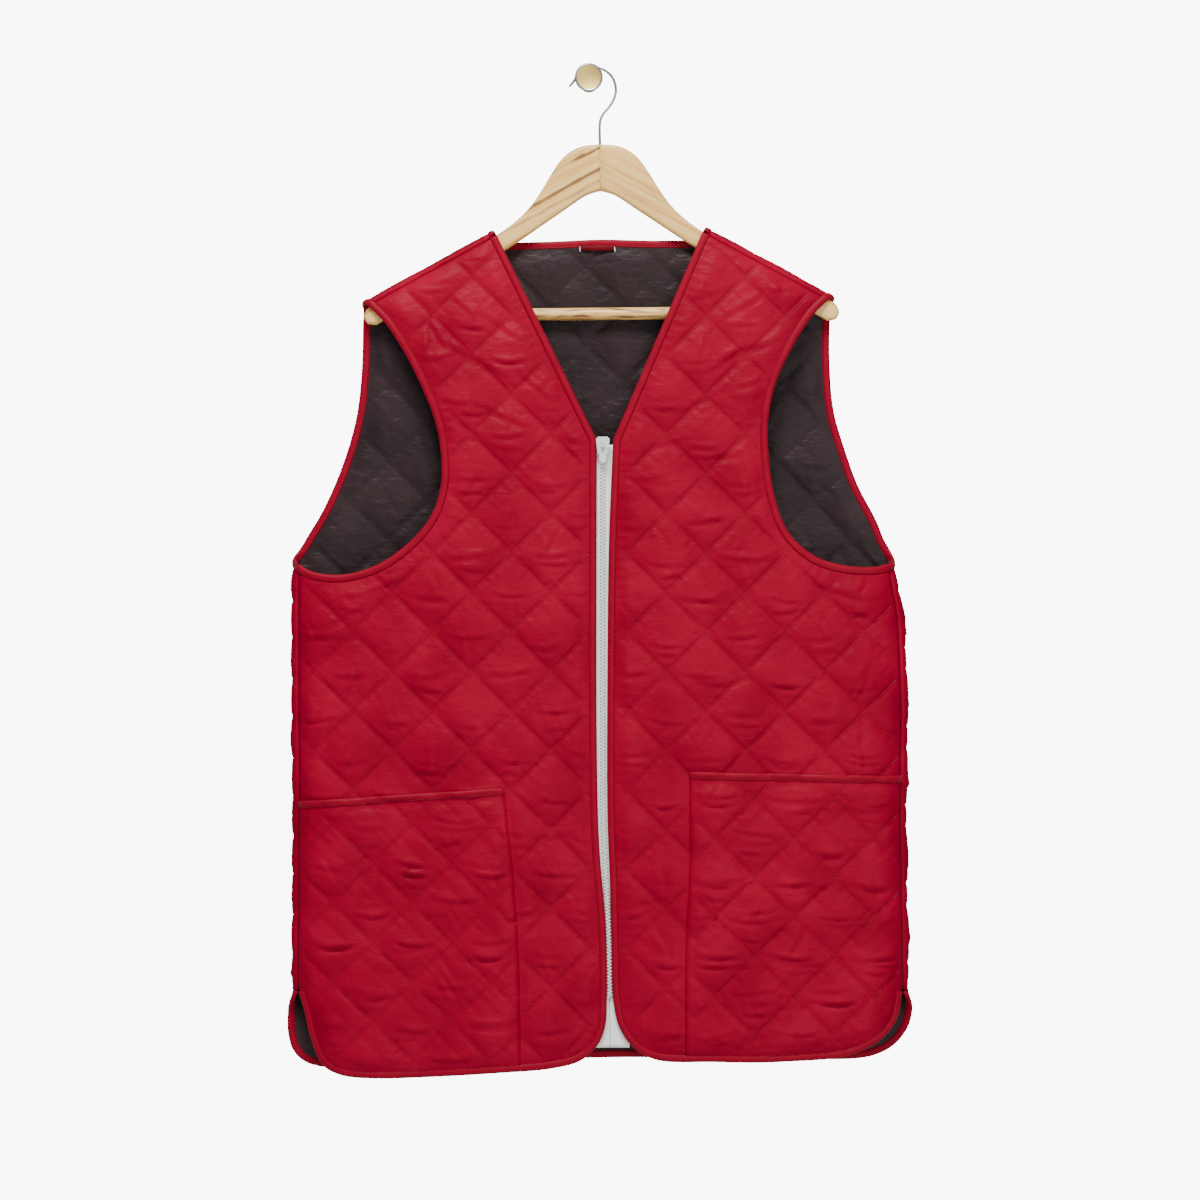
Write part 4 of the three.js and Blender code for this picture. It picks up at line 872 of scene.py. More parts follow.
def lacquered_pine(name, lean, streaks=(), growth_mm=4.5):
    """Pale pine planed and clear lacquered: long soft grain, now and then a brown streak, a satin gloss.

    The grain leans by an angle from level. A streak is its height across the grain, its width and how
    dark it is, in millimetres from the part's origin.
    """
    material, tree, shader, place = new_finish(
        name, Roughness=0.36, Specular_IOR_Level=0.35, Coat_Weight=0.2, Coat_Roughness=0.25
    )
    along_grain = node(
        tree, "ShaderNodeMapping", inputs={"Rotation": (0, math.radians(lean), 0)}, links={"Vector": place}
    ).outputs["Vector"]
    grain = mottle(tree, along_grain, growth_mm, stretch=(18, 1.5, 1), detail=4.0, distortion=0.5)
    planed = node(
        tree,
        "ShaderNodeValToRGB",
        links={"Fac": grain},
        stops=((0.25, "d29442"), (0.42, "efba66"), (0.6, "fbcf7e"), (0.8, "e0a756")),
    )
    colour = planed.outputs["Color"]
    across = node(tree, "ShaderNodeSeparateXYZ", links={"Vector": along_grain}).outputs["Z"]
    wander = mottle(tree, along_grain, 16, stretch=(3, 1, 1), detail=3.0)
    patchy = mottle(tree, along_grain, 5, stretch=(5, 1, 1), detail=3.0)
    for height, width, darkness in streaks:
        wandered = node(
            tree,
            "ShaderNodeMath",
            {"operation": "MULTIPLY_ADD"},
            inputs={1: 0.009},
            links={0: wander, 2: across},
        ).outputs["Value"]
        middle = node(
            tree,
            "ShaderNodeMath",
            {"operation": "ADD"},
            inputs={1: -height / 1000 - 0.0045},
            links={0: wandered},
        ).outputs["Value"]
        beside = node(tree, "ShaderNodeMath", {"operation": "ABSOLUTE"}, links={0: middle}).outputs["Value"]
        share = node(
            tree,
            "ShaderNodeMapRange",
            {"interpolation_type": "SMOOTHSTEP"},
            {"From Min": 0.0002 * width, "From Max": width / 1000, "To Min": darkness, "To Max": 0.0},
            {"Value": beside},
        ).outputs["Result"]
        broken = node(
            tree,
            "ShaderNodeMapRange",
            inputs={"From Min": 0.36, "From Max": 0.56, "To Min": 0.15},
            links={"Value": patchy},
        ).outputs["Result"]
        seen = node(tree, "ShaderNodeMath", {"operation": "MULTIPLY"}, links={0: share, 1: broken})
        colour = node(
            tree,
            "ShaderNodeMix",
            {"data_type": "RGBA"},
            inputs={7: linear("74431c")},
            links={0: seen.outputs["Value"], 6: colour},
        ).outputs[2]
    tree.links.new(colour, shader.inputs["Base Color"])
    add_relief(tree, shader, ((grain, 0.06),))
    return material


def plated(name, colour, roughness, marks_mm, depth_mm):
    """Plated or bare metal: bright, with the fine scratches of handling in its shine."""
    material, tree, shader, place = new_finish(name, Metallic=1.0)
    shader.inputs["Base Color"].default_value = linear(colour)
    marks = mottle(tree, place, marks_mm, stretch=(1, 1, 3), detail=4.0)
    shine = node(
        tree,
        "ShaderNodeMapRange",
        inputs={"To Min": roughness * 0.75, "To Max": roughness * 1.3},
        links={"Value": marks},
    )
    tree.links.new(shine.outputs["Result"], shader.inputs["Roughness"])
    add_relief(tree, shader, ((marks, depth_mm),))
    return material


def moulded(name, colour, shade, roughness):
    """A smooth moulded or enamelled surface, slightly glossy, with a faint unevenness from its mould."""
    material, tree, shader, place = new_finish(name, Roughness=roughness, Specular_IOR_Level=0.5)
    cloudy = mottle(tree, place, 4)
    tinted = node(tree, "ShaderNodeValToRGB", links={"Fac": cloudy}, stops=((0.3, shade), (0.7, colour)))
    tree.links.new(tinted.outputs["Color"], shader.inputs["Base Color"])
    add_relief(tree, shader, ((cloudy, 0.04),))
    return material


RED_SHELL = quilted_nylon("red_nylon_taffeta", ("820120", "8c0224", "970429"), 0.055, 0.45)
BROWN_LINING = quilted_nylon("dark_brown_nylon_lining", ("231719", "2a1c1f", "312124"), 0.17, 0.6)
RED_BINDING = woven_tape("red_satin_bias_binding", ("82011f", "8e0223"), 0.9, 0.03, 0.45)
# The loop's tape is dark red, and its colour is darker still as painted shade for where it hangs under the
# neck binding's bulge.
DARK_RED_TAPE_WITH_PAINTED_SHADE = woven_tape("dark_red_loop_tape_with_painted_shade", ("56000b", "640210"), 0.9, 0.04)
WHITE_TAPE = woven_tape("white_zip_tape", ("f4f4f3", "fbfbfa"), 0.8, 0.05, 0.7)
# The second colour of each thread is a painted highlight, lighter than its own colour, for the light on its
# twist.
RED_THREAD = sewing_thread("red_sewing_thread", "7c0117", "92031c")
BROWN_THREAD = sewing_thread("brown_sewing_thread", "1c1314", "2c2022")
WHITE_THREAD = sewing_thread("white_sewing_thread", "e6e4e0", "f8f6f2")
ZIP_TEETH = moulded("white_moulded_acetal", "fbfbfa", "f1f1f0", 0.35)
ZIP_METAL = moulded("pale_grey_enamelled_zinc", "e4e4e3", "d2d2d2", 0.3)
PINE_RIGHT = lacquered_pine(
    "lacquered_pine_right_arm", 29, ((-59.5, 2.6, 0.9), (-78.3, 3.2, 0.85), (-88, 2, 0.5))
)
PINE_LEFT = lacquered_pine("lacquered_pine_left_arm", -29, ((-66, 1.6, 0.35), (-97, 2.2, 0.3)))
PINE_BAR = lacquered_pine(
    "lacquered_pine_dowel", 0.5, ((-219.5, 2.2, 1.0), (-214, 1.7, 0.9), (-222.4, 1.4, 0.8)), 3.0
)
STEEL = plated("bright_plated_steel_wire", "c4c5c7", 0.24, 2.0, 0.02)
BRASS = plated("brushed_pale_brass", "dcc074", 0.5, 1.6, 0.03)

# Cut pieces
CLOTH_IN_BINDING = 2.5
CLOTH_AT_SEAM = -0.25
FRONT_CELLS = 22
BACK_CELLS = 19
INNER_CELLS = 9
GATHER_HEIGHT = 0.55
GATHER_REACH = 9.0
WALL_PRESSED = 0.8


def gathers(distance, along, start, seed):
    """Short folds that stand square to a sewn edge, which gathers the cloth a little."""
    wave = np.sin(along * 0.72 + 2.5 * uneven(along, 0 * along, 23, seed))
    wave = wave + 0.6 * np.sin(along * 1.13 + seed)
    strength = 0.35 + 0.65 * np.abs(uneven(along, 0 * along, 31, seed + 3))
    beyond = np.maximum(distance - start, 0)
    return GATHER_HEIGHT * strength * wave * np.exp(-beyond / GATHER_REACH) * (1 - np.exp(-beyond / 1.5))


def joined(*runs):
    return np.vstack([run[:-1] for run in runs[:-1]] + [runs[-1]])


class Panel:
    """A quilted panel: its pattern, its bound edges and seams, and the height of its cloth."""

    def __init__(self, outline, bound, seams, lattice, creases, seed):
        self.bound = bound
        self.seams = seams
        self.lattice = lattice
        self.creases = creases
        self.seed = seed
        edges = [(edge, CLOTH_IN_BINDING) for edge in bound] + [(edge, CLOTH_AT_SEAM) for edge in seams]
        self.pattern = Pattern([outline], edges)

    def edge_state(self, points):
        """Fade of the padding, the wall left, and the gathers beside bindings and seams."""
        fade = np.ones(len(points))
        wall = np.full(len(points), WALL)
        folds = np.zeros(len(points))
        for k, edge in enumerate(self.bound):
            distance, _, along = nearest_on(edge, points)
            fade *= smooth(BINDING_WIDTH - 1, BINDING_WIDTH + PUFF_FADE, distance)
            pressed = 1 - smooth(BINDING_WIDTH - 1, BINDING_WIDTH + 2, distance)
            wall = np.minimum(wall, WALL - WALL_PRESSED * pressed)
            folds += gathers(distance, along, BINDING_WIDTH, self.seed + k)
        for k, edge in enumerate(self.seams):
            distance, _, along = nearest_on(edge, points)
            fade *= smooth(0, PUFF_FADE, distance)
            wall = np.minimum(wall, WALL - 1.1 * (1 - smooth(0, 3, distance)))
            folds += 0.35 * gathers(distance, along, 3, self.seed + 10 + k)
        return fade, wall, folds

    def top(self, points):
        """Height of the outer face over the panel's inner face."""
        x, z = points[:, 0], points[:, 1]
        fade, wall, folds = self.edge_state(points)
        relief = PUFF * quilt_height(self.lattice, x, z) + puckers(self.lattice, x, z)
        relief += 0.3 * uneven(x, z, 13, self.seed) + 0.25 * uneven(x, z, 7, self.seed + 1)
        relief += 1.3 * small_creases(self.lattice, x, z, 0.35, self.seed)
        for row in self.creases:
            relief += crease(x, z, row)
        return wall + fade * np.maximum(relief, 0) + folds * smooth(0.7, 1.5, wall)


LINING_PUFF = 2.6


def lining_depth(lattice, fade, x, z, seed):
    """How far a lining stands in from the panel's inner face."""
    relief = LINING_PUFF * quilt_height(lattice, x, z) + 0.8 * puckers(lattice, x, z)
    relief += small_creases(lattice, x, z, 0.0, seed) * 0.8 + 0.3 * uneven(x, z, 11, seed)
    return -LINING_LEVEL + fade * np.maximum(relief, 0)


# Creases, listed one by one: x, z, angle, length, width, depth and bend
RIGHT_CREASES = (
    (-152, -238, -62, 40, 2.6, 1.2, 0.05),
    (-128, -212, -42, 26, 2.0, 0.8, -0.1),
    (-118, -262, -30, 60, 3.2, 1.3, 0.04),
    (-92, -232, -33, 44, 2.6, 0.9, 0.0),
    (-148, -300, -12, 46, 2.6, 1.1, 0.1),
    (-128, -322, -30, 36, 2.2, 0.9, 0.0),
    (-88, -316, -24, 52, 3.0, 1.1, 0.05),
    (-62, -286, -40, 42, 2.4, 0.8, 0.0),
    (-196, -470, 24, 38, 2.4, 0.9, 0.1),
    (-236, -500, 30, 34, 2.2, 0.9, 0.0),
    (-226, -562, 62, 40, 3.0, 1.0, 0.1),
    (-160, -548, 74, 36, 2.6, 0.9, 0.0),
    (-252, -610, 80, 46, 3.2, 0.9, 0.0),
    (-150, -640, 12, 44, 2.6, 0.8, 0.2),
    (-40, -700, 8, 36, 2.4, 0.8, 0.2),
    (-46, -800, 70, 44, 2.8, 0.8, 0.0),
)
LEFT_CREASES = (
    (132, -214, 32, 44, 2.6, 0.9, 0.0),
    (150, -250, 20, 56, 3.2, 1.3, 0.06),
    (118, -262, 34, 48, 3.0, 1.2, 0.0),
    (140, -284, 16, 40, 2.4, 1.0, -0.08),
    (96, -300, 30, 54, 3.0, 1.1, 0.05),
    (62, -340, 14, 44, 2.6, 0.9, 0.1),
    (110, -352, 6, 50, 2.8, 1.0, 0.12),
    (48, -372, 8, 36, 2.2, 0.9, 0.1),
    (210, -474, -16, 46, 2.6, 1.0, 0.1),
    (246, -500, -26, 34, 2.2, 0.9, 0.0),
    (196, -540, -66, 38, 2.8, 0.8, 0.0),
    (120, -560, 18, 44, 2.6, 0.8, 0.1),
    (240, -600, 86, 44, 3.0, 0.8, 0.0),
    (60, -640, 78, 40, 2.6, 0.8, 0.0),
    (48, -760, 10, 34, 2.4, 0.8, 0.2),
    (50, -850, 66, 40, 2.6, 0.8, 0.0),
)
BACK_CREASES = (
    (-150, -220, 30, 60, 3.2, 1.2, 0.05),
    (146, -216, -28, 56, 3.0, 1.2, 0.05),
    (-60, -260, 12, 70, 3.4, 1.0, 0.1),
    (70, -300, -8, 64, 3.0, 1.0, 0.1),
    (-190, -400, 64, 54, 3.0, 1.1, 0.0),
    (196, -420, -58, 50, 2.8, 1.1, 0.0),
    (-110, -520, 80, 60, 3.2, 0.9, 0.0),
    (30, -560, 14, 52, 2.8, 0.8, 0.15),
    (150, -620, 76, 66, 3.4, 1.0, 0.0),
    (-200, -690, 84, 62, 3.2, 0.9, 0.0),
    (-20, -740, 10, 48, 2.8, 0.9, 0.15),
    (110, -800, 70, 50, 3.0, 0.9, 0.0),
    (-120, -850, 62, 46, 2.8, 0.9, 0.0),
)


def front_panel(side):
    edges = front_edges(side)
    hem_and_neck = joined(edges["hem"], edges["neck"])
    outline = joined(
        edges["shoulder"], edges["armhole"], edges["side_seam"], edges["hem"], edges["neck"]
    )[:-1]
    creases = RIGHT_CREASES if side < 0 else LEFT_CREASES
    panel = Panel(
        outline,
        [edges["armhole"], hem_and_neck],
        [edges["shoulder"], edges["side_seam"]],
        LATTICES[side],
        creases,
        20 + side,
    )
    return panel, edges


POCKET_PRESS = 0.62


def pocket_shape(side):
    """The free edge, the mouth and the closed area of a patch pocket."""
    row = POCKETS[side]
    edge = curve_through(row["edge"], EDGE_STEP)
    outer = np.array(row["outer"], float)
    mouth = straight(outer, edge[0], EDGE_STEP)
    corner = np.array([outer[0], edge[-1, 1]])
    return {"edge": edge, "mouth": mouth, "outline": np.vstack([mouth[:-1], edge, corner])}


def front_top(side, panel, points):
    """Outer height of a front, pressed down under its pocket and beside the pocket's stitching."""
    pocket = pocket_shape(side)
    height = panel.top(points)
    to_edge, _, _ = nearest_on(pocket["edge"], points)
    to_mouth, _, _ = nearest_on(pocket["mouth"], points)
    inside = inside_of(pocket["outline"], points)
    under = inside * smooth(0, 8, np.minimum(to_edge, to_mouth))
    beside = np.exp(-((to_edge / 6) ** 2)) * (points[:, 1] < POCKETS[side]["edge"][0][1] + 2)
    press = np.maximum(under, beside) * POCKET_PRESS
    return WALL + (height - WALL) * (1 - press * (height > WALL))


def quilted_wall(name, pattern, lattice, cells, outer_height, inner_height, place, finishes, rim_finish=0):
    """A closed quilted wall: a fine outer face and a plainer inner one."""
    outer = quilt_mesh(pattern, lattice, cells)
    inner = quilt_mesh(pattern, lattice, INNER_CELLS)
    points, outside, faces, parts = walled(outer, inner)
    heights = np.zeros(len(points))
    heights[outside] = outer_height(points[outside])
    heights[~outside] = inner_height(points[~outside])
    places = place(points[:, 0], points[:, 1], heights)
    chosen = np.where(parts == 2, len(finishes) - 1, rim_finish)
    return add_piece(name, places, outward(places, faces), finishes, chosen)


def make_front(side, name):
    panel, edges = front_panel(side)
    piece = quilted_wall(
        f"quilted_front_{name}",
        panel.pattern,
        panel.lattice,
        FRONT_CELLS,
        lambda p: front_top(side, panel, p),
        lambda p: -1.0 * quilt_height(panel.lattice, p[:, 0], p[:, 1]) * panel.edge_state(p)[0] - 0.2,
        front_point,
        [RED_SHELL, BROWN_LINING],
    )
    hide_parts(f"front_{name}")
    return piece, panel, edges


def make_pocket(side, name, panel):
    """The bag of a patch pocket, lying on its front."""
    shape = pocket_shape(side)
    front_bound = [(edge, CLOTH_IN_BINDING) for edge in panel.bound]
    front_seams = [(edge, CLOTH_AT_SEAM) for edge in panel.seams]
    cut = [*front_bound, *front_seams, (shape["edge"], 0.0), (shape["mouth"], CLOTH_IN_BINDING)]
    pattern = Pattern([panel.pattern.outlines[0], shape["outline"]], cut)
    lattice = POCKET_LATTICES[side]

    def base(points):
        to_edge, _, _ = nearest_on(shape["edge"], points)
        clear = POCKET_SEWN + (POCKET_CLEAR - POCKET_SEWN) * smooth(0, 5, to_edge)
        return front_top(side, panel, points) + clear

    def top(points):
        x, z = points[:, 0], points[:, 1]
        fade, wall, folds = panel.edge_state(points)
        to_edge, _, edge_along = nearest_on(shape["edge"], points)
        to_mouth, _, mouth_along = nearest_on(shape["mouth"], points)
        fade = fade * smooth(1.5, 13, to_edge) * smooth(POCKET_BAND - 1, POCKET_BAND + 10, to_mouth)
        relief = POCKET_PUFF * quilt_height(lattice, x, z) + puckers(lattice, x, z)
        relief += 1.4 * small_creases(lattice, x, z, 0.85, 40 + side) + 0.3 * uneven(x, z, 12, 44 + side)
        wall = POCKET_WALL * (wall / WALL) * (0.3 + 0.7 * smooth(0, 2.5, to_edge))
        folds = folds + gathers(to_mouth, mouth_along, POCKET_BAND, 50)
        folds = folds + 0.6 * gathers(to_edge, edge_along, 2, 51)
        return base(points) + wall + fade * np.maximum(relief, 0) + 0.6 * folds * smooth(0.5, 1.2, wall)

    piece = quilted_wall(
        f"quilted_pocket_{name}", pattern, lattice, FRONT_CELLS, top, base, front_point, [RED_SHELL]
    )
    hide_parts(f"pocket_{name}")
    return piece, pattern, shape, base, top


def back_panel():
    edges = back_edges()
    outline = joined(
        edges["neck"],
        edges["left_shoulder"],
        edges["left_armhole"],
        edges["left_seam"],
        edges["hem"][::-1],
        edges["right_seam"][::-1],
        edges["right_armhole"][::-1],
        edges["right_shoulder"][::-1],
    )
    bound = [edges["neck"], edges["left_armhole"], edges["hem"], edges["right_armhole"]]
    seams = [edges["left_shoulder"], edges["left_seam"], edges["right_seam"], edges["right_shoulder"]]
    return Panel(outline, bound, seams, LATTICES[0], BACK_CREASES, 30), edges


SHOULDER_PRESS = 0.7
LINING_GAP = 0.25


def shoulder_press(points):
    x, z = points[:, 0], points[:, 1]
    return 1 - SHOULDER_PRESS * smooth(-24, 0, over_shoulder(side_of(x), x, z))


def make_back():
    panel, edges = back_panel()

    def top(points):
        return WALL + (panel.top(points) - WALL) * shoulder_press(points)

    shell = quilted_wall(
        "quilted_back",
        panel.pattern,
        panel.lattice,
        BACK_CELLS,
        top,
        lambda p: np.zeros(len(p)),
        back_point,
        [RED_SHELL],
    )
    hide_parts("back")

    def lining(points):
        fade, _, folds = panel.edge_state(points)
        pressed = shoulder_press(points)
        x, z = points[:, 0], points[:, 1]
        depth = lining_depth(panel.lattice, fade * pressed, x, z, 61)
        return -depth - 0.5 * np.abs(folds)

    inside = quilted_wall(
        "quilted_lining",
        panel.pattern,
        panel.lattice,
        BACK_CELLS,
        lining,
        lambda p: np.full(len(p), -LINING_GAP),
        back_point,
        [BROWN_LINING],
    )
    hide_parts("lining_back")
    return panel, edges, [shell, inside], top, lining


# Bindings: a folded tape round an edge, lowest where it is stitched and fullest beside the fold
FOLDED_SECTION = (  # how far inside the edge, and how high: the strip's outer face, then its inner face
    (7.0, 1.15), (6.2, 2.0), (4.6, 2.55), (2.6, 2.5), (1.0, 1.9), (0.15, 1.0), (0.0, 0.2), (0.2, -0.7),
    (1.2, -1.45), (3.0, -1.8), (5.4, -1.75), (7.0, -1.25),
    (7.0, -0.85), (5.4, -1.35), (3.0, -1.4), (1.4, -1.1), (0.6, -0.55), (0.4, 0.2), (0.55, 0.85),
    (1.25, 1.6), (2.7, 2.1), (4.5, 2.15), (6.0, 1.65), (7.0, 0.75),
)
BINDING_RIPPLE = 0.22


def folded_rings(points, place, inward, seed, lift=None):
    """Rings of binding along an edge; inward is 1 if the cloth lies on the run's left."""
    forward = np.gradient(points, axis=0)
    forward /= np.linalg.norm(forward, axis=1, keepdims=True)
    normal = np.stack([-forward[:, 1], forward[:, 0]], axis=1) * inward
    section = np.array(FOLDED_SECTION)
    along = np.concatenate([[0], np.cumsum(np.linalg.norm(np.diff(points, axis=0), axis=1))])
    ripple = np.sin(along * 0.95 + 3 * uneven(along, 0 * along, 19, seed)) + 0.5 * np.sin(along * 1.7 + seed)
    ripple *= BINDING_RIPPLE * (0.4 + 0.6 * np.abs(uneven(along, 0 * along, 27, seed + 2)))
    spots = points[:, None, :] + normal[:, None, :] * section[None, :, 0, None]
    away = section[None, :, 0] / BINDING_WIDTH
    high = section[None, :, 1] + ripple[:, None] * away * (section[None, :, 1] > 0.5)
    if lift is not None:
        high = high + lift(spots.reshape(-1, 2)).reshape(high.shape)
    return place(spots[..., 0], spots[..., 1], high)


def add_binding(name, node_name, rings, closed=False):
    """One strip of bias binding through its rings, hiding the node it stands for."""
    places, faces = through_rings(rings, closed)
    piece = add_piece(name, places, outward(places, faces), [RED_BINDING])
    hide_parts(node_name)
    return piece


def shortened(points, length):
    """A run of points cut back at both ends."""
    along = np.concatenate([[0], np.cumsum(np.linalg.norm(np.diff(points, axis=0), axis=1))])
    spots = np.linspace(length, along[-1] - length, len(points))
    return np.stack([np.interp(spots, along, points[:, k]) for k in (0, 1)], axis=1)


def make_bindings(fronts, back, loop_pieces):
    made = {}
    for side, name in ((-1, "right"), (1, "left")):
        edges = fronts[side]
        inward = 1 if side < 0 else -1
        run = shortened(joined(edges["hem"], edges["neck"]), 0.4)
        made[f"edge_{name}"] = add_binding(
            f"edge_binding_{name}_tape",
            f"edge_binding_{name}",
            folded_rings(run, front_point, inward, 70),
        )
        rings = np.concatenate(
            [
                folded_rings(edges["armhole"], front_point, inward, 72),
                folded_rings(back[f"{name}_armhole"][::-1], back_point, -inward, 73),
            ]
        )
        made[f"armhole_{name}"] = add_binding(
            f"armhole_binding_{name}_tape", f"armhole_binding_{name}", rings, True
        )
    neck = shortened(back["neck"], 1.3)
    made["neck"] = add_binding(
        "neck_binding_tape",
        "neck_binding",
        folded_rings(neck, back_point, -1, 74),
    )
    hem = shortened(back["hem"], 0.4)
    made["hem"] = add_binding(
        "back_hem_tape", "back_hem_binding", folded_rings(hem, back_point, 1, 75)
    )
    return made


def make_pocket_band(side, name, shape, base, panel):
    """The binding folded over a pocket's mouth."""
    mouth = shape["mouth"]
    inside = mouth[inside_of(panel.pattern.outlines[0], mouth)]
    run = inside if side < 0 else inside[::-1]
    rings = folded_rings(run, front_point, -1, 76, lift=base)
    piece = add_binding(f"pocket_band_{name}", f"pocket_binding_{name}", rings)
    return piece, run


# Zip
TAPE_TOP = -338.5
TAPE_END = -893.0
TAPE_WIDTH = 17.5
TAPE_LEVEL = -5.2
TAPE_THICKNESS = 1.0
CHAIN_TOP = -345.0
CHAIN_END = -846.0
CHAIN_LEVEL = -3.9
CORE_WIDTH = 3.2
CORE_THICKNESS = 1.0
TOOTH = {"pitch": 1.55, "aside": 1.15, "width": 3.1, "tall": 1.15, "depth": 2.1}


def zip_x(z):
    return at_height(ZIP_LINE, ZIP_COLUMNS, "x", z)


def zip_strip(top, end, start, stop, level, thickness):
    """A flat strip that follows the zip, with a slightly rounded section."""
    z = np.linspace(top, end, math.ceil((top - end) / 4) + 1)
    half = (stop - start) / 2
    middle = (start + stop) / 2
    section = [(-1, 0.2), (-1, 0.8), (-0.94, 1), (0.94, 1), (1, 0.8), (1, 0.2), (0.94, 0), (-0.94, 0)]
    rings = [
        front_point(zip_x(z) + middle + half * across, z, level + thickness * up) for across, up in section
    ]
    return through_rings(np.stack(rings, axis=1))


def make_zip():
    made = []
    for name, start, stop in (("right", -TAPE_WIDTH, -0.15), ("left", 0.15, TAPE_WIDTH)):
        places, faces = zip_strip(TAPE_TOP, TAPE_END, start, stop, TAPE_LEVEL, TAPE_THICKNESS)
        tape = add_piece(f"zip_tape_{name}_cloth", places, outward(places, faces), [WHITE_TAPE])
        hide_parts(f"zip_tape_{name}")
        made.append(tape)
    places, faces = zip_strip(
        CHAIN_TOP, CHAIN_END, -CORE_WIDTH / 2, CORE_WIDTH / 2, CHAIN_LEVEL + 0.3, CORE_THICKNESS
    )
    core = add_piece("zip_chain_core", places, outward(places, faces), [ZIP_TEETH])
    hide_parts("zip_chain")

    z = np.arange(CHAIN_TOP - TOOTH["pitch"], CHAIN_END, -TOOTH["pitch"])
    aside = np.where(np.arange(len(z)) % 2 == 0, -1, 1) * TOOTH["aside"]
    spots = front_point(zip_x(z) + aside, z, np.full(len(z), CHAIN_LEVEL + 1.0))
    ahead = front_point(zip_x(z) + aside, z, np.full(len(z), CHAIN_LEVEL + 2.0)) - spots
    teeth = repeated(
        "zip_teeth",
        spots,
        ahead,
        {"Sides": 8, "Foot": TOOTH["width"] / 2, "Head": TOOTH["width"] * 0.37, "Depth": TOOTH["depth"]},
        ZIP_TEETH,
        flatten=TOOTH["tall"] / TOOTH["width"] * 1.25,
    )
    return made + [core, teeth]


REPEAT_INPUTS = (
    ("Sides", "NodeSocketInt"),
    ("Foot", "NodeSocketFloat"),
    ("Head", "NodeSocketFloat"),
    ("Depth", "NodeSocketFloat"),
    ("Flatten", "NodeSocketFloat"),
    ("Finish", "NodeSocketMaterial"),
)


def repeat_tree():
    """Geometry nodes that put one tapered peg on each point, its axis along the point's heading."""
    tree = bpy.data.node_groups.new("pegs_along_points", "GeometryNodeTree")
    tree.interface.new_socket("Points", in_out="INPUT", socket_type="NodeSocketGeometry")
    for name, kind in REPEAT_INPUTS:
        tree.interface.new_socket(name, in_out="INPUT", socket_type=kind)
    tree.interface.new_socket("Pegs", in_out="OUTPUT", socket_type="NodeSocketGeometry")
    given = tree.nodes.new("NodeGroupInput").outputs
    peg = node(
        tree,
        "GeometryNodeMeshCone",
        links={
            "Vertices": given["Sides"],
            "Radius Bottom": given["Foot"],
            "Radius Top": given["Head"],
            "Depth": given["Depth"],
        },
    )
    heading = node(
        tree, "GeometryNodeInputNamedAttribute", {"data_type": "FLOAT_VECTOR"}, {"Name": "heading"}
    )
    turned = node(
        tree,
        "FunctionNodeAlignRotationToVector",
        {"axis": "Z"},
        links={"Vector": heading.outputs["Attribute"]},
    )
    size = node(tree, "ShaderNodeCombineXYZ", inputs={"X": 1.0, "Z": 1.0}, links={"Y": given["Flatten"]})
    placed = node(
        tree,
        "GeometryNodeInstanceOnPoints",
        links={
            "Points": given["Points"],
            "Instance": peg.outputs["Mesh"],
            "Rotation": turned.outputs["Rotation"],
            "Scale": size.outputs["Vector"],
        },
    )
    solid = node(tree, "GeometryNodeRealizeInstances", links={"Geometry": placed.outputs["Instances"]})
    finished = node(
        tree,
        "GeometryNodeSetMaterial",
        links={"Geometry": solid.outputs["Geometry"], "Material": given["Finish"]},
    )
    tree.links.new(finished.outputs["Geometry"], tree.nodes.new("NodeGroupOutput").inputs["Pegs"])
    return tree


REPEAT_TREE = repeat_tree()


def repeated(name, spots, headings, sizes, finish, flatten=1.0, body="vest"):
    """One plain mesh of pegs on many points; their sizes are in millimetres."""
    points = bpy.data.meshes.new(f"{name}_points")
    places = (np.asarray(spots, float).reshape(-1, 3) + HANGER) / 1000
    points.from_pydata(places.tolist(), [], [])
    attribute = points.attributes.new("heading", "FLOAT_VECTOR", "POINT")
    attribute.data.foreach_set("vector", np.asarray(headings, np.float32).ravel())
    source = bpy.data.objects.new(f"{name}_points", points)
    bpy.context.collection.objects.link(source)
    modifier = source.modifiers.new("pegs", "NODES")
    modifier.node_group = REPEAT_TREE
    values = {
        "Sides": sizes["Sides"],
        "Foot": sizes["Foot"] / 1000,
        "Head": sizes["Head"] / 1000,
        "Depth": sizes["Depth"] / 1000,
        "Flatten": flatten,
        "Finish": finish,
    }
    for item in REPEAT_TREE.interface.items_tree:
        if item.in_out == "INPUT" and item.name in values:
            modifier[item.identifier] = values[item.name]
    evaluated = source.evaluated_get(bpy.context.evaluated_depsgraph_get())
    mesh = bpy.data.meshes.new_from_object(evaluated)
    mesh.name = name
    bpy.data.objects.remove(source)
    bpy.data.meshes.remove(points)
    piece = bpy.data.objects.new(name, mesh)
    bpy.context.collection.objects.link(piece)
    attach(piece, body)
    return piece


# Sewing
STITCH_PITCH = 3.2
STITCH_LENGTH = 2.5
THREAD_WIDTH = 0.5
ROW_IN_BINDING = 6.0
ROW_HEIGHT = 2.1
INNER_ROW_HEIGHT = -1.75
POCKET_ROW = 2.2


def sewn(name, ends, finish):
    """Stitches between pairs of places."""
    ends = np.asarray(ends, float)
    return repeated(
        name,
        ends.mean(axis=1),
        ends[:, 1] - ends[:, 0],
        {"Sides": 5, "Foot": THREAD_WIDTH / 2, "Head": THREAD_WIDTH / 2, "Depth": STITCH_LENGTH},
        finish,
    )


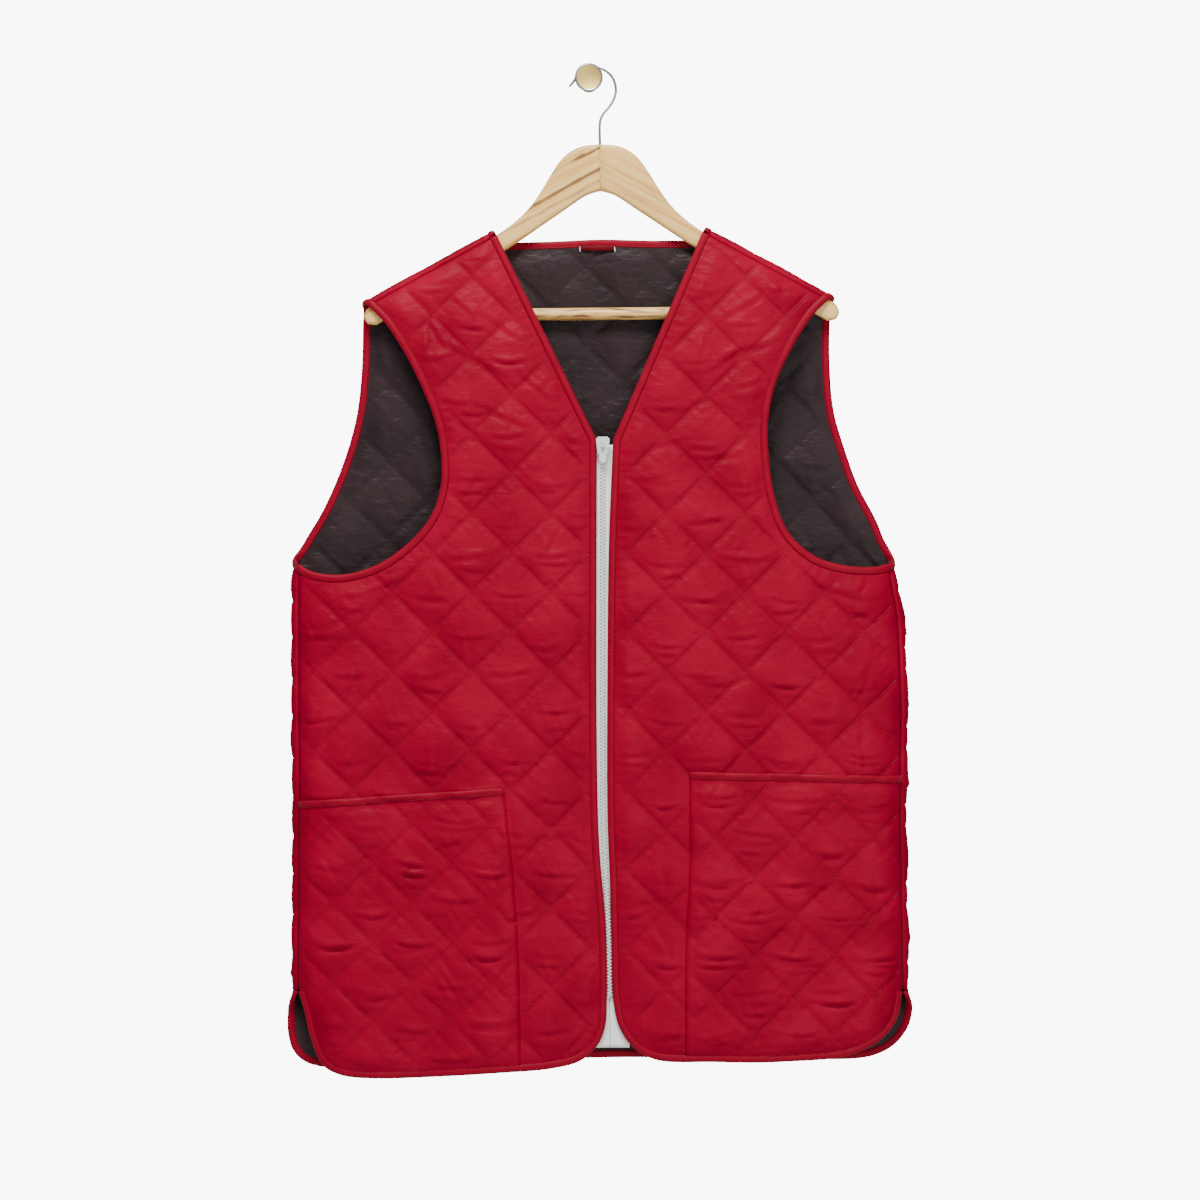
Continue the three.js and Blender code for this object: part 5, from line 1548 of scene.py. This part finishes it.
def quilting_stitches(pattern, lattice, height, place, keep=None):
    """Ends of the stitches along every quilting line of a panel."""
    low, high = pattern.low - lattice, pattern.high - lattice
    reach = (np.abs(np.stack([low, high])).max(axis=0)).sum()
    lines = np.arange(math.floor(-reach / QUILT_DIAGONAL), math.ceil(reach / QUILT_DIAGONAL) + 1)
    steps = np.arange(-reach, reach, STITCH_PITCH)
    k, s = np.meshgrid(lines * QUILT_DIAGONAL, steps)
    runs = []
    for rise in (1, -1):
        middle = np.stack([(k + s) / 2, rise * (k - s) / 2], axis=-1).reshape(-1, 2) + lattice
        step = np.array([1, -rise]) * STITCH_LENGTH / (2 * math.sqrt(2))
        runs.append(np.stack([middle - step, middle + step], axis=1))
    ends = np.concatenate(runs)
    boxed = ((ends > pattern.low) & (ends < pattern.high)).all(axis=(1, 2))
    ends = ends[boxed]
    room = np.minimum(pattern.room(ends[:, 0])[0], pattern.room(ends[:, 1])[0])
    ends = ends[room > BINDING_WIDTH - CLOTH_IN_BINDING]
    if keep is not None:
        ends = ends[keep(ends.mean(axis=1))]
    flat = ends.reshape(-1, 2)
    return place(flat[:, 0], flat[:, 1], height(flat)).reshape(-1, 2, 3)


def row_stitches(points, inward, aside, up, place, lift=None, keep=None):
    """Ends of the stitches of one row that runs beside an edge."""
    along = np.concatenate([[0], np.cumsum(np.linalg.norm(np.diff(points, axis=0), axis=1))])
    forward = np.gradient(points, axis=0)
    forward /= np.linalg.norm(forward, axis=1, keepdims=True)
    moved = points + np.stack([-forward[:, 1], forward[:, 0]], axis=1) * inward * aside
    starts = np.arange(STITCH_PITCH, along[-1] - STITCH_PITCH, STITCH_PITCH)
    spots = np.stack([starts, starts + STITCH_LENGTH], axis=1).ravel()
    flat = np.stack([np.interp(spots, along, moved[:, k]) for k in (0, 1)], axis=1)
    if keep is not None:
        flat = flat[np.repeat(keep(flat[::2]) & keep(flat[1::2]), 2)]
    height = np.full(len(flat), float(up))
    if lift is not None:
        height = height + lift(flat)
    return place(flat[:, 0], flat[:, 1], height).reshape(-1, 2, 3)


def sew_front(side, name, panel, edges, pocket):
    """The quilting of a front outside its pocket, and the rows that hold its bindings."""
    inward = 1 if side < 0 else -1
    runs = [
        quilting_stitches(
            panel.pattern,
            panel.lattice,
            lambda p: front_top(side, panel, p),
            front_point,
            lambda p: ~inside_of(pocket["outline"], p),
        )
    ]
    for run in (joined(edges["hem"], edges["neck"]), edges["armhole"]):
        runs.append(row_stitches(run, inward, ROW_IN_BINDING, ROW_HEIGHT, front_point))
    stitches = sewn(f"front_stitches_{name}", np.concatenate(runs), RED_THREAD)
    return stitches


def sew_pocket(side, name, panel, pocket):
    """The quilting of a pocket, the row down its free edge and the row of its band."""

    def on_front(points):
        return panel.pattern.room(points)[0] > BINDING_WIDTH - CLOTH_IN_BINDING

    runs = [
        quilting_stitches(pocket["pattern"], POCKET_LATTICES[side], pocket["top"], front_point),
        row_stitches(pocket["edge"], side, POCKET_ROW, 0.0, front_point, pocket["top"], on_front),
        row_stitches(pocket["band_run"], -1, ROW_IN_BINDING, ROW_HEIGHT, front_point, pocket["base"]),
    ]
    stitches = sewn(f"pocket_stitches_{name}", np.concatenate(runs), RED_THREAD)
    return stitches


def sew_back(panel, edges, top, lining):
    """The quilting of the back outside and in, and the rows of its bindings."""
    outside = [quilting_stitches(panel.pattern, panel.lattice, top, back_point)]
    inside = []
    for edge, inward in (("neck", -1), ("hem", 1), ("left_armhole", -1), ("right_armhole", 1)):
        outside.append(row_stitches(edges[edge], inward, ROW_IN_BINDING, ROW_HEIGHT, back_point))
        inside.append(row_stitches(edges[edge], inward, ROW_IN_BINDING, INNER_ROW_HEIGHT, back_point))
    quilting = quilting_stitches(panel.pattern, panel.lattice, lining, back_point)
    made = [
        sewn("back_stitches", np.concatenate(outside), RED_THREAD),
        sewn("inner_binding_stitches", np.concatenate(inside), RED_THREAD),
        sewn("lining_stitches", quilting, BROWN_THREAD),
    ]
    return made


# Hanger and peg
WOOD_THICKNESS = 11.0
WOOD_ROUNDING = 3.5
WOOD_TILT = math.radians(0.55)
GLUE_GROOVE = 0.25
WOOD_TOP = (
    (0, -60.6), (16, -62), (27, -66.8), (35.5, -73.8), (45.5, -88), (56, -105), (66, -118.6), (78, -130.2),
    (95.4, -142.8), (209, -205.1), (217, -211.2), (219.4, -218), (216, -224.2), (208, -225.2),
)
WOOD_UNDER = ((93, -160.4), (73.6, -148), (35, -122), (12, -107), (0, -103.6))
BAR_RADIUS = 5.75
BAR_HALF = 178.0
BAR_Z = -217.0
TENON_RADIUS = 2.5
TENON_LENGTH = 24.0
WIRE_RADIUS = 1.25
HOOK_ROOT = -72.0
HOOK_PATH = (
    (0, -60), (0, -40), (2.6, -33), (9.2, -25), (13.6, -16.6), (14.6, -8), (11.2, 1.8), (3.4, 8.6),
    (-6.4, 11), (-15, 9), (-20.6, 3.6), (-24.4, -2.4), (-28.4, -7.4),
)
PEG_PROFILE = (  # radius, and distance out from the wall
    (8.8, 0), (8.8, 37), (9.4, 38), (11.6, 38.4), (12.6, 39.2), (13.0, 40.4), (13.0, 43.6), (12.5, 44.7),
    (12.0, 45.0), (11.6, 44.5), (11.2, 44.3), (0.01, 44.3),
)


def tilted(x, z):
    """The hanger hangs a little lower on one side."""
    cos, sin = math.cos(WOOD_TILT), math.sin(WOOD_TILT)
    away = z - WOOD_TOP[0][1]
    return x * cos - away * sin, x * sin + away * cos + WOOD_TOP[0][1]


def make_arm(side, name, finish):
    """One arm of the hanger: a flat board with rounded edges, glued to the other at the middle."""
    top = curve_through(WOOD_TOP, 4.0)
    under = curve_through(WOOD_UNDER, 6.0)
    outline = np.vstack([top, straight(top[-1], under[0], 6.0)[1:-1], under])
    after = np.roll(outline, -1, axis=0) - outline
    before = outline - np.roll(outline, 1, axis=0)
    forward = after / np.linalg.norm(after, axis=1)[:, None]
    forward = forward + before / np.linalg.norm(before, axis=1)[:, None]
    inward = np.stack([forward[:, 1], -forward[:, 0]], axis=1)
    outline[[0, -1], 0] = 0.0
    inward[[0, -1]] = [(0, -1), (0, 1)]
    inward /= np.linalg.norm(inward, axis=1, keepdims=True)
    rings = []
    half = WOOD_THICKNESS / 2
    turns = np.linspace(0, math.pi / 2, 6)
    rows = [(WOOD_ROUNDING * (1 - math.sin(t)), -half + WOOD_ROUNDING * (1 - math.cos(t))) for t in turns]
    rows += [(inset, -y) for inset, y in rows[::-1]]
    for inset, y in rows:
        flat = outline + inward * inset
        x, z = tilted(side * np.maximum(flat[:, 0], GLUE_GROOVE * inset / WOOD_ROUNDING), flat[:, 1])
        rings.append(np.stack([x, np.full(len(x), y), z], axis=1))
    places, faces = through_rings(rings)
    arm = add_piece(f"hanger_arm_{name}_board", places, outward(places, faces), [finish])
    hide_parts(f"hanger_arm_{name}")
    return arm


def round_rings(centres, sideways, radii, sides):
    """Round rings about centres, in the plane of sideways and the depth axis."""
    angles = np.arange(sides) * 2 * math.pi / sides
    depth = np.array([0.0, 1.0, 0.0])
    return [
        centre + radius * (np.cos(angles)[:, None] * across + np.sin(angles)[:, None] * depth)
        for centre, across, radius in zip(centres, sideways, radii)
    ]


def make_bar():
    end = BAR_HALF + TENON_LENGTH
    rows = [(-end, TENON_RADIUS), (-BAR_HALF, TENON_RADIUS), (-BAR_HALF, BAR_RADIUS - 0.6)]
    rows += [(x, BAR_RADIUS) for x in np.linspace(-BAR_HALF + 0.8, BAR_HALF - 0.8, 20)]
    rows += [(BAR_HALF, BAR_RADIUS - 0.6), (BAR_HALF, TENON_RADIUS), (end, TENON_RADIUS)]
    centres = [np.array([*tilted(x, BAR_Z)]) for x, _ in rows]
    centres = [np.array([x, 0.0, z]) for x, z in centres]
    up = np.array([0.0, 0.0, 1.0])
    places, faces = through_rings(round_rings(centres, [up] * len(rows), [r for _, r in rows], 28))
    bar = add_piece("hanger_bar_dowel", places, outward(places, faces), [PINE_BAR])
    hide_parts("hanger_bar")
    return bar


def make_hook():
    path = np.vstack([[(0, HOOK_ROOT)], curve_through(HOOK_PATH, 1.6)])
    forward = np.gradient(path, axis=0)
    forward /= np.linalg.norm(forward, axis=1, keepdims=True)
    across = np.stack([-forward[:, 1], np.zeros(len(path)), forward[:, 0]], axis=1)
    centres = np.stack([path[:, 0], np.zeros(len(path)), path[:, 1]], axis=1)
    radii = np.full(len(path), WIRE_RADIUS)
    radii[-1] = 0.6 * WIRE_RADIUS
    places, faces = through_rings(round_rings(centres, across, radii, 14))
    hook = add_piece("hanger_hook_wire", places, outward(places, faces), [STEEL])
    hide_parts("hanger_hook")
    return hook


def make_peg():
    """The wall peg, turned about the axis that leaves the wall; its face is set in a thin rim."""
    angles = np.arange(56) * 2 * math.pi / 56
    rings = [
        np.stack([r * np.cos(angles), np.full(len(angles), -out), r * np.sin(angles)], axis=1)
        for r, out in PEG_PROFILE
    ]
    places, faces = through_rings(rings)
    rim = {5, 6, 7, 8, 9}
    chosen = [1 if k // len(angles) in rim else 0 for k in range(len(faces))]
    peg = add_piece(
        "wall_peg_turned", places - np.array(HANGER), outward(places, faces), [BRASS, STEEL], chosen
    )
    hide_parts("wall_peg")
    return peg


def rounded_copy(node_name, name, finish, bevel_mm, body="vest"):
    """The node's own shape with its sharp edges eased."""
    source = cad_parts[node_name]
    form = bmesh.new()
    form.from_mesh(source.data)
    bmesh.ops.remove_doubles(form, verts=form.verts, dist=1e-6)
    bmesh.ops.dissolve_limit(form, angle_limit=0.02, verts=form.verts, edges=form.edges)
    sharp = [e for e in form.edges if len(e.link_faces) == 2 and e.calc_face_angle() > math.radians(25)]
    bmesh.ops.bevel(
        form, geom=sharp, offset=bevel_mm / 1000, segments=3, profile=0.5, affect="EDGES", clamp_overlap=True
    )
    mesh = bpy.data.meshes.new(name)
    form.to_mesh(mesh)
    form.free()
    mesh.materials.clear()
    mesh.materials.append(finish)
    mesh.shade_smooth()
    piece = bpy.data.objects.new(name, mesh)
    bpy.context.collection.objects.link(piece)
    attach(piece, body)
    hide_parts(node_name)
    return piece


LOOP = {
    "start": -20.0,
    "stop": 14.0,
    "top": -152.8,
    "height": 4.6,
    "thickness": 1.2,
    "level": -2.0,
    "bow": 1.6,
}


def make_loop():
    """Loop for a coat hook, bowed off the lining, with a bar tack at each end."""
    share = np.linspace(0, 1, 25)
    across = LOOP["start"] + (LOOP["stop"] - LOOP["start"]) * share
    level = LOOP["level"] - LOOP["bow"] * np.sin(np.pi * share)
    sag = 0.9 * np.sin(np.pi * share)
    section = [(0.04, 0), (0, 0.3), (0, 0.7), (0.04, 1), (0.96, 1), (1, 0.7), (1, 0.3), (0.96, 0)]
    rings = [
        back_point(across, LOOP["top"] - sag - LOOP["height"] * down, level - LOOP["thickness"] * out)
        for down, out in section
    ]
    places, faces = through_rings(np.stack(rings, axis=1))
    # the loop's finish holds painted shade from the neck binding above it
    loop = add_piece("neck_loop_tape", places, outward(places, faces), [DARK_RED_TAPE_WITH_PAINTED_SHADE])
    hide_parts("neck_loop")
    ends = []
    for x in (LOOP["start"] + 0.8, LOOP["stop"] - 0.8):
        for k in range(3):
            z = LOOP["top"] - 0.7 - 1.4 * k
            up = LOOP["level"] - LOOP["thickness"] - 0.15
            ends.append([back_point(x - 0.3, z, up), back_point(x + 0.3, z - 1.3, up)])
    tacks = sewn("loop_bar_tacks", ends, WHITE_THREAD)
    return [loop, tacks]


FRONTS = {}
PIECES = {}
for side, name in ((-1, "right"), (1, "left")):
    piece, panel, edges = make_front(side, name)
    FRONTS[side] = edges
    PIECES[f"front_{name}"] = piece
    bag, pattern, shape, base, top = make_pocket(side, name, panel)
    PIECES[f"pocket_{name}"] = bag
    PIECES[f"band_{name}"], band_run = make_pocket_band(side, name, shape, base, panel)
    pocket = {**shape, "pattern": pattern, "base": base, "top": top, "band_run": band_run}
    sew_front(side, name, panel, edges, pocket)
    sew_pocket(side, name, panel, pocket)
BACK_PANEL, BACK_EDGES, back_pieces, back_top, back_lining = make_back()
PIECES["back"], PIECES["lining"] = back_pieces
sew_back(BACK_PANEL, BACK_EDGES, back_top, back_lining)
PIECES.update(make_bindings(FRONTS, BACK_EDGES, make_loop()))
make_zip()
rounded_copy("zip_slider", "zip_slider_eased", ZIP_METAL, 0.5)
rounded_copy("zip_pull", "zip_pull_eased", ZIP_METAL, 0.25, body="pull")
make_arm(-1, "right", PINE_RIGHT)
make_arm(1, "left", PINE_LEFT)
make_bar()
make_hook()
make_peg()


def add_light(name, size, power, place, aim, colour=(1, 1, 1)):
    light = bpy.data.lights.new(name, "AREA")
    light.shape = "RECTANGLE"
    light.size, light.size_y = size
    light.energy = power
    light.color = colour
    holder = bpy.data.objects.new(name, light)
    holder.location = place
    holder.rotation_euler = (Vector(aim) - Vector(place)).to_track_quat("-Z", "Y").to_euler()
    bpy.context.collection.objects.link(holder)


ROOM_LIGHT = 0.3
ROOM_SEEN = 9.0
FLOOR_DEPTH = -1.7


def add_studio():
    """Soft light from above and in front, a pale floor well below, and a near-white room."""
    middle = (0.01, -0.05, -0.5)
    add_light("key_softbox", (1.3, 0.9), 134, (-0.25, -1.8, 1.95), middle)
    add_light("fill_softbox", (1.6, 1.6), 22, (0.9, -2.6, -0.6), middle)
    world = bpy.data.worlds.new("studio_room")
    world.use_nodes = True
    tree = world.node_tree
    tree.nodes["Background"].inputs["Strength"].default_value = ROOM_LIGHT
    seen = node(tree, "ShaderNodeBackground", inputs={"Color": (1, 1, 1, 1), "Strength": ROOM_SEEN})
    tree.nodes["Background"].inputs["Color"].default_value = (1, 1, 1, 1)
    looked_at = node(tree, "ShaderNodeLightPath").outputs["Is Camera Ray"]
    mixed = node(
        tree,
        "ShaderNodeMixShader",
        links={0: looked_at, 1: tree.nodes["Background"].outputs[0], 2: seen.outputs[0]},
    )
    tree.links.new(mixed.outputs[0], tree.nodes["World Output"].inputs["Surface"])
    bpy.context.scene.world = world
    floor = bpy.data.meshes.new("studio_floor")
    reach, depth = 4.0, FLOOR_DEPTH
    floor.from_pydata(
        [(-reach, -reach, depth), (reach, -reach, depth), (reach, reach, depth), (-reach, reach, depth)],
        [],
        [(0, 1, 2, 3)],
    )
    pale, tree, shader, place = new_finish("pale_floor_paint", Roughness=0.8)
    rolled = mottle(tree, place, 400)
    paint = node(tree, "ShaderNodeValToRGB", links={"Fac": rolled}, stops=((0.3, "efeeec"), (0.7, "f4f3f1")))
    tree.links.new(paint.outputs["Color"], shader.inputs["Base Color"])
    floor.materials.append(pale)
    floor_object = bpy.data.objects.new("studio_floor", floor)
    bpy.context.collection.objects.link(floor_object)


add_studio()
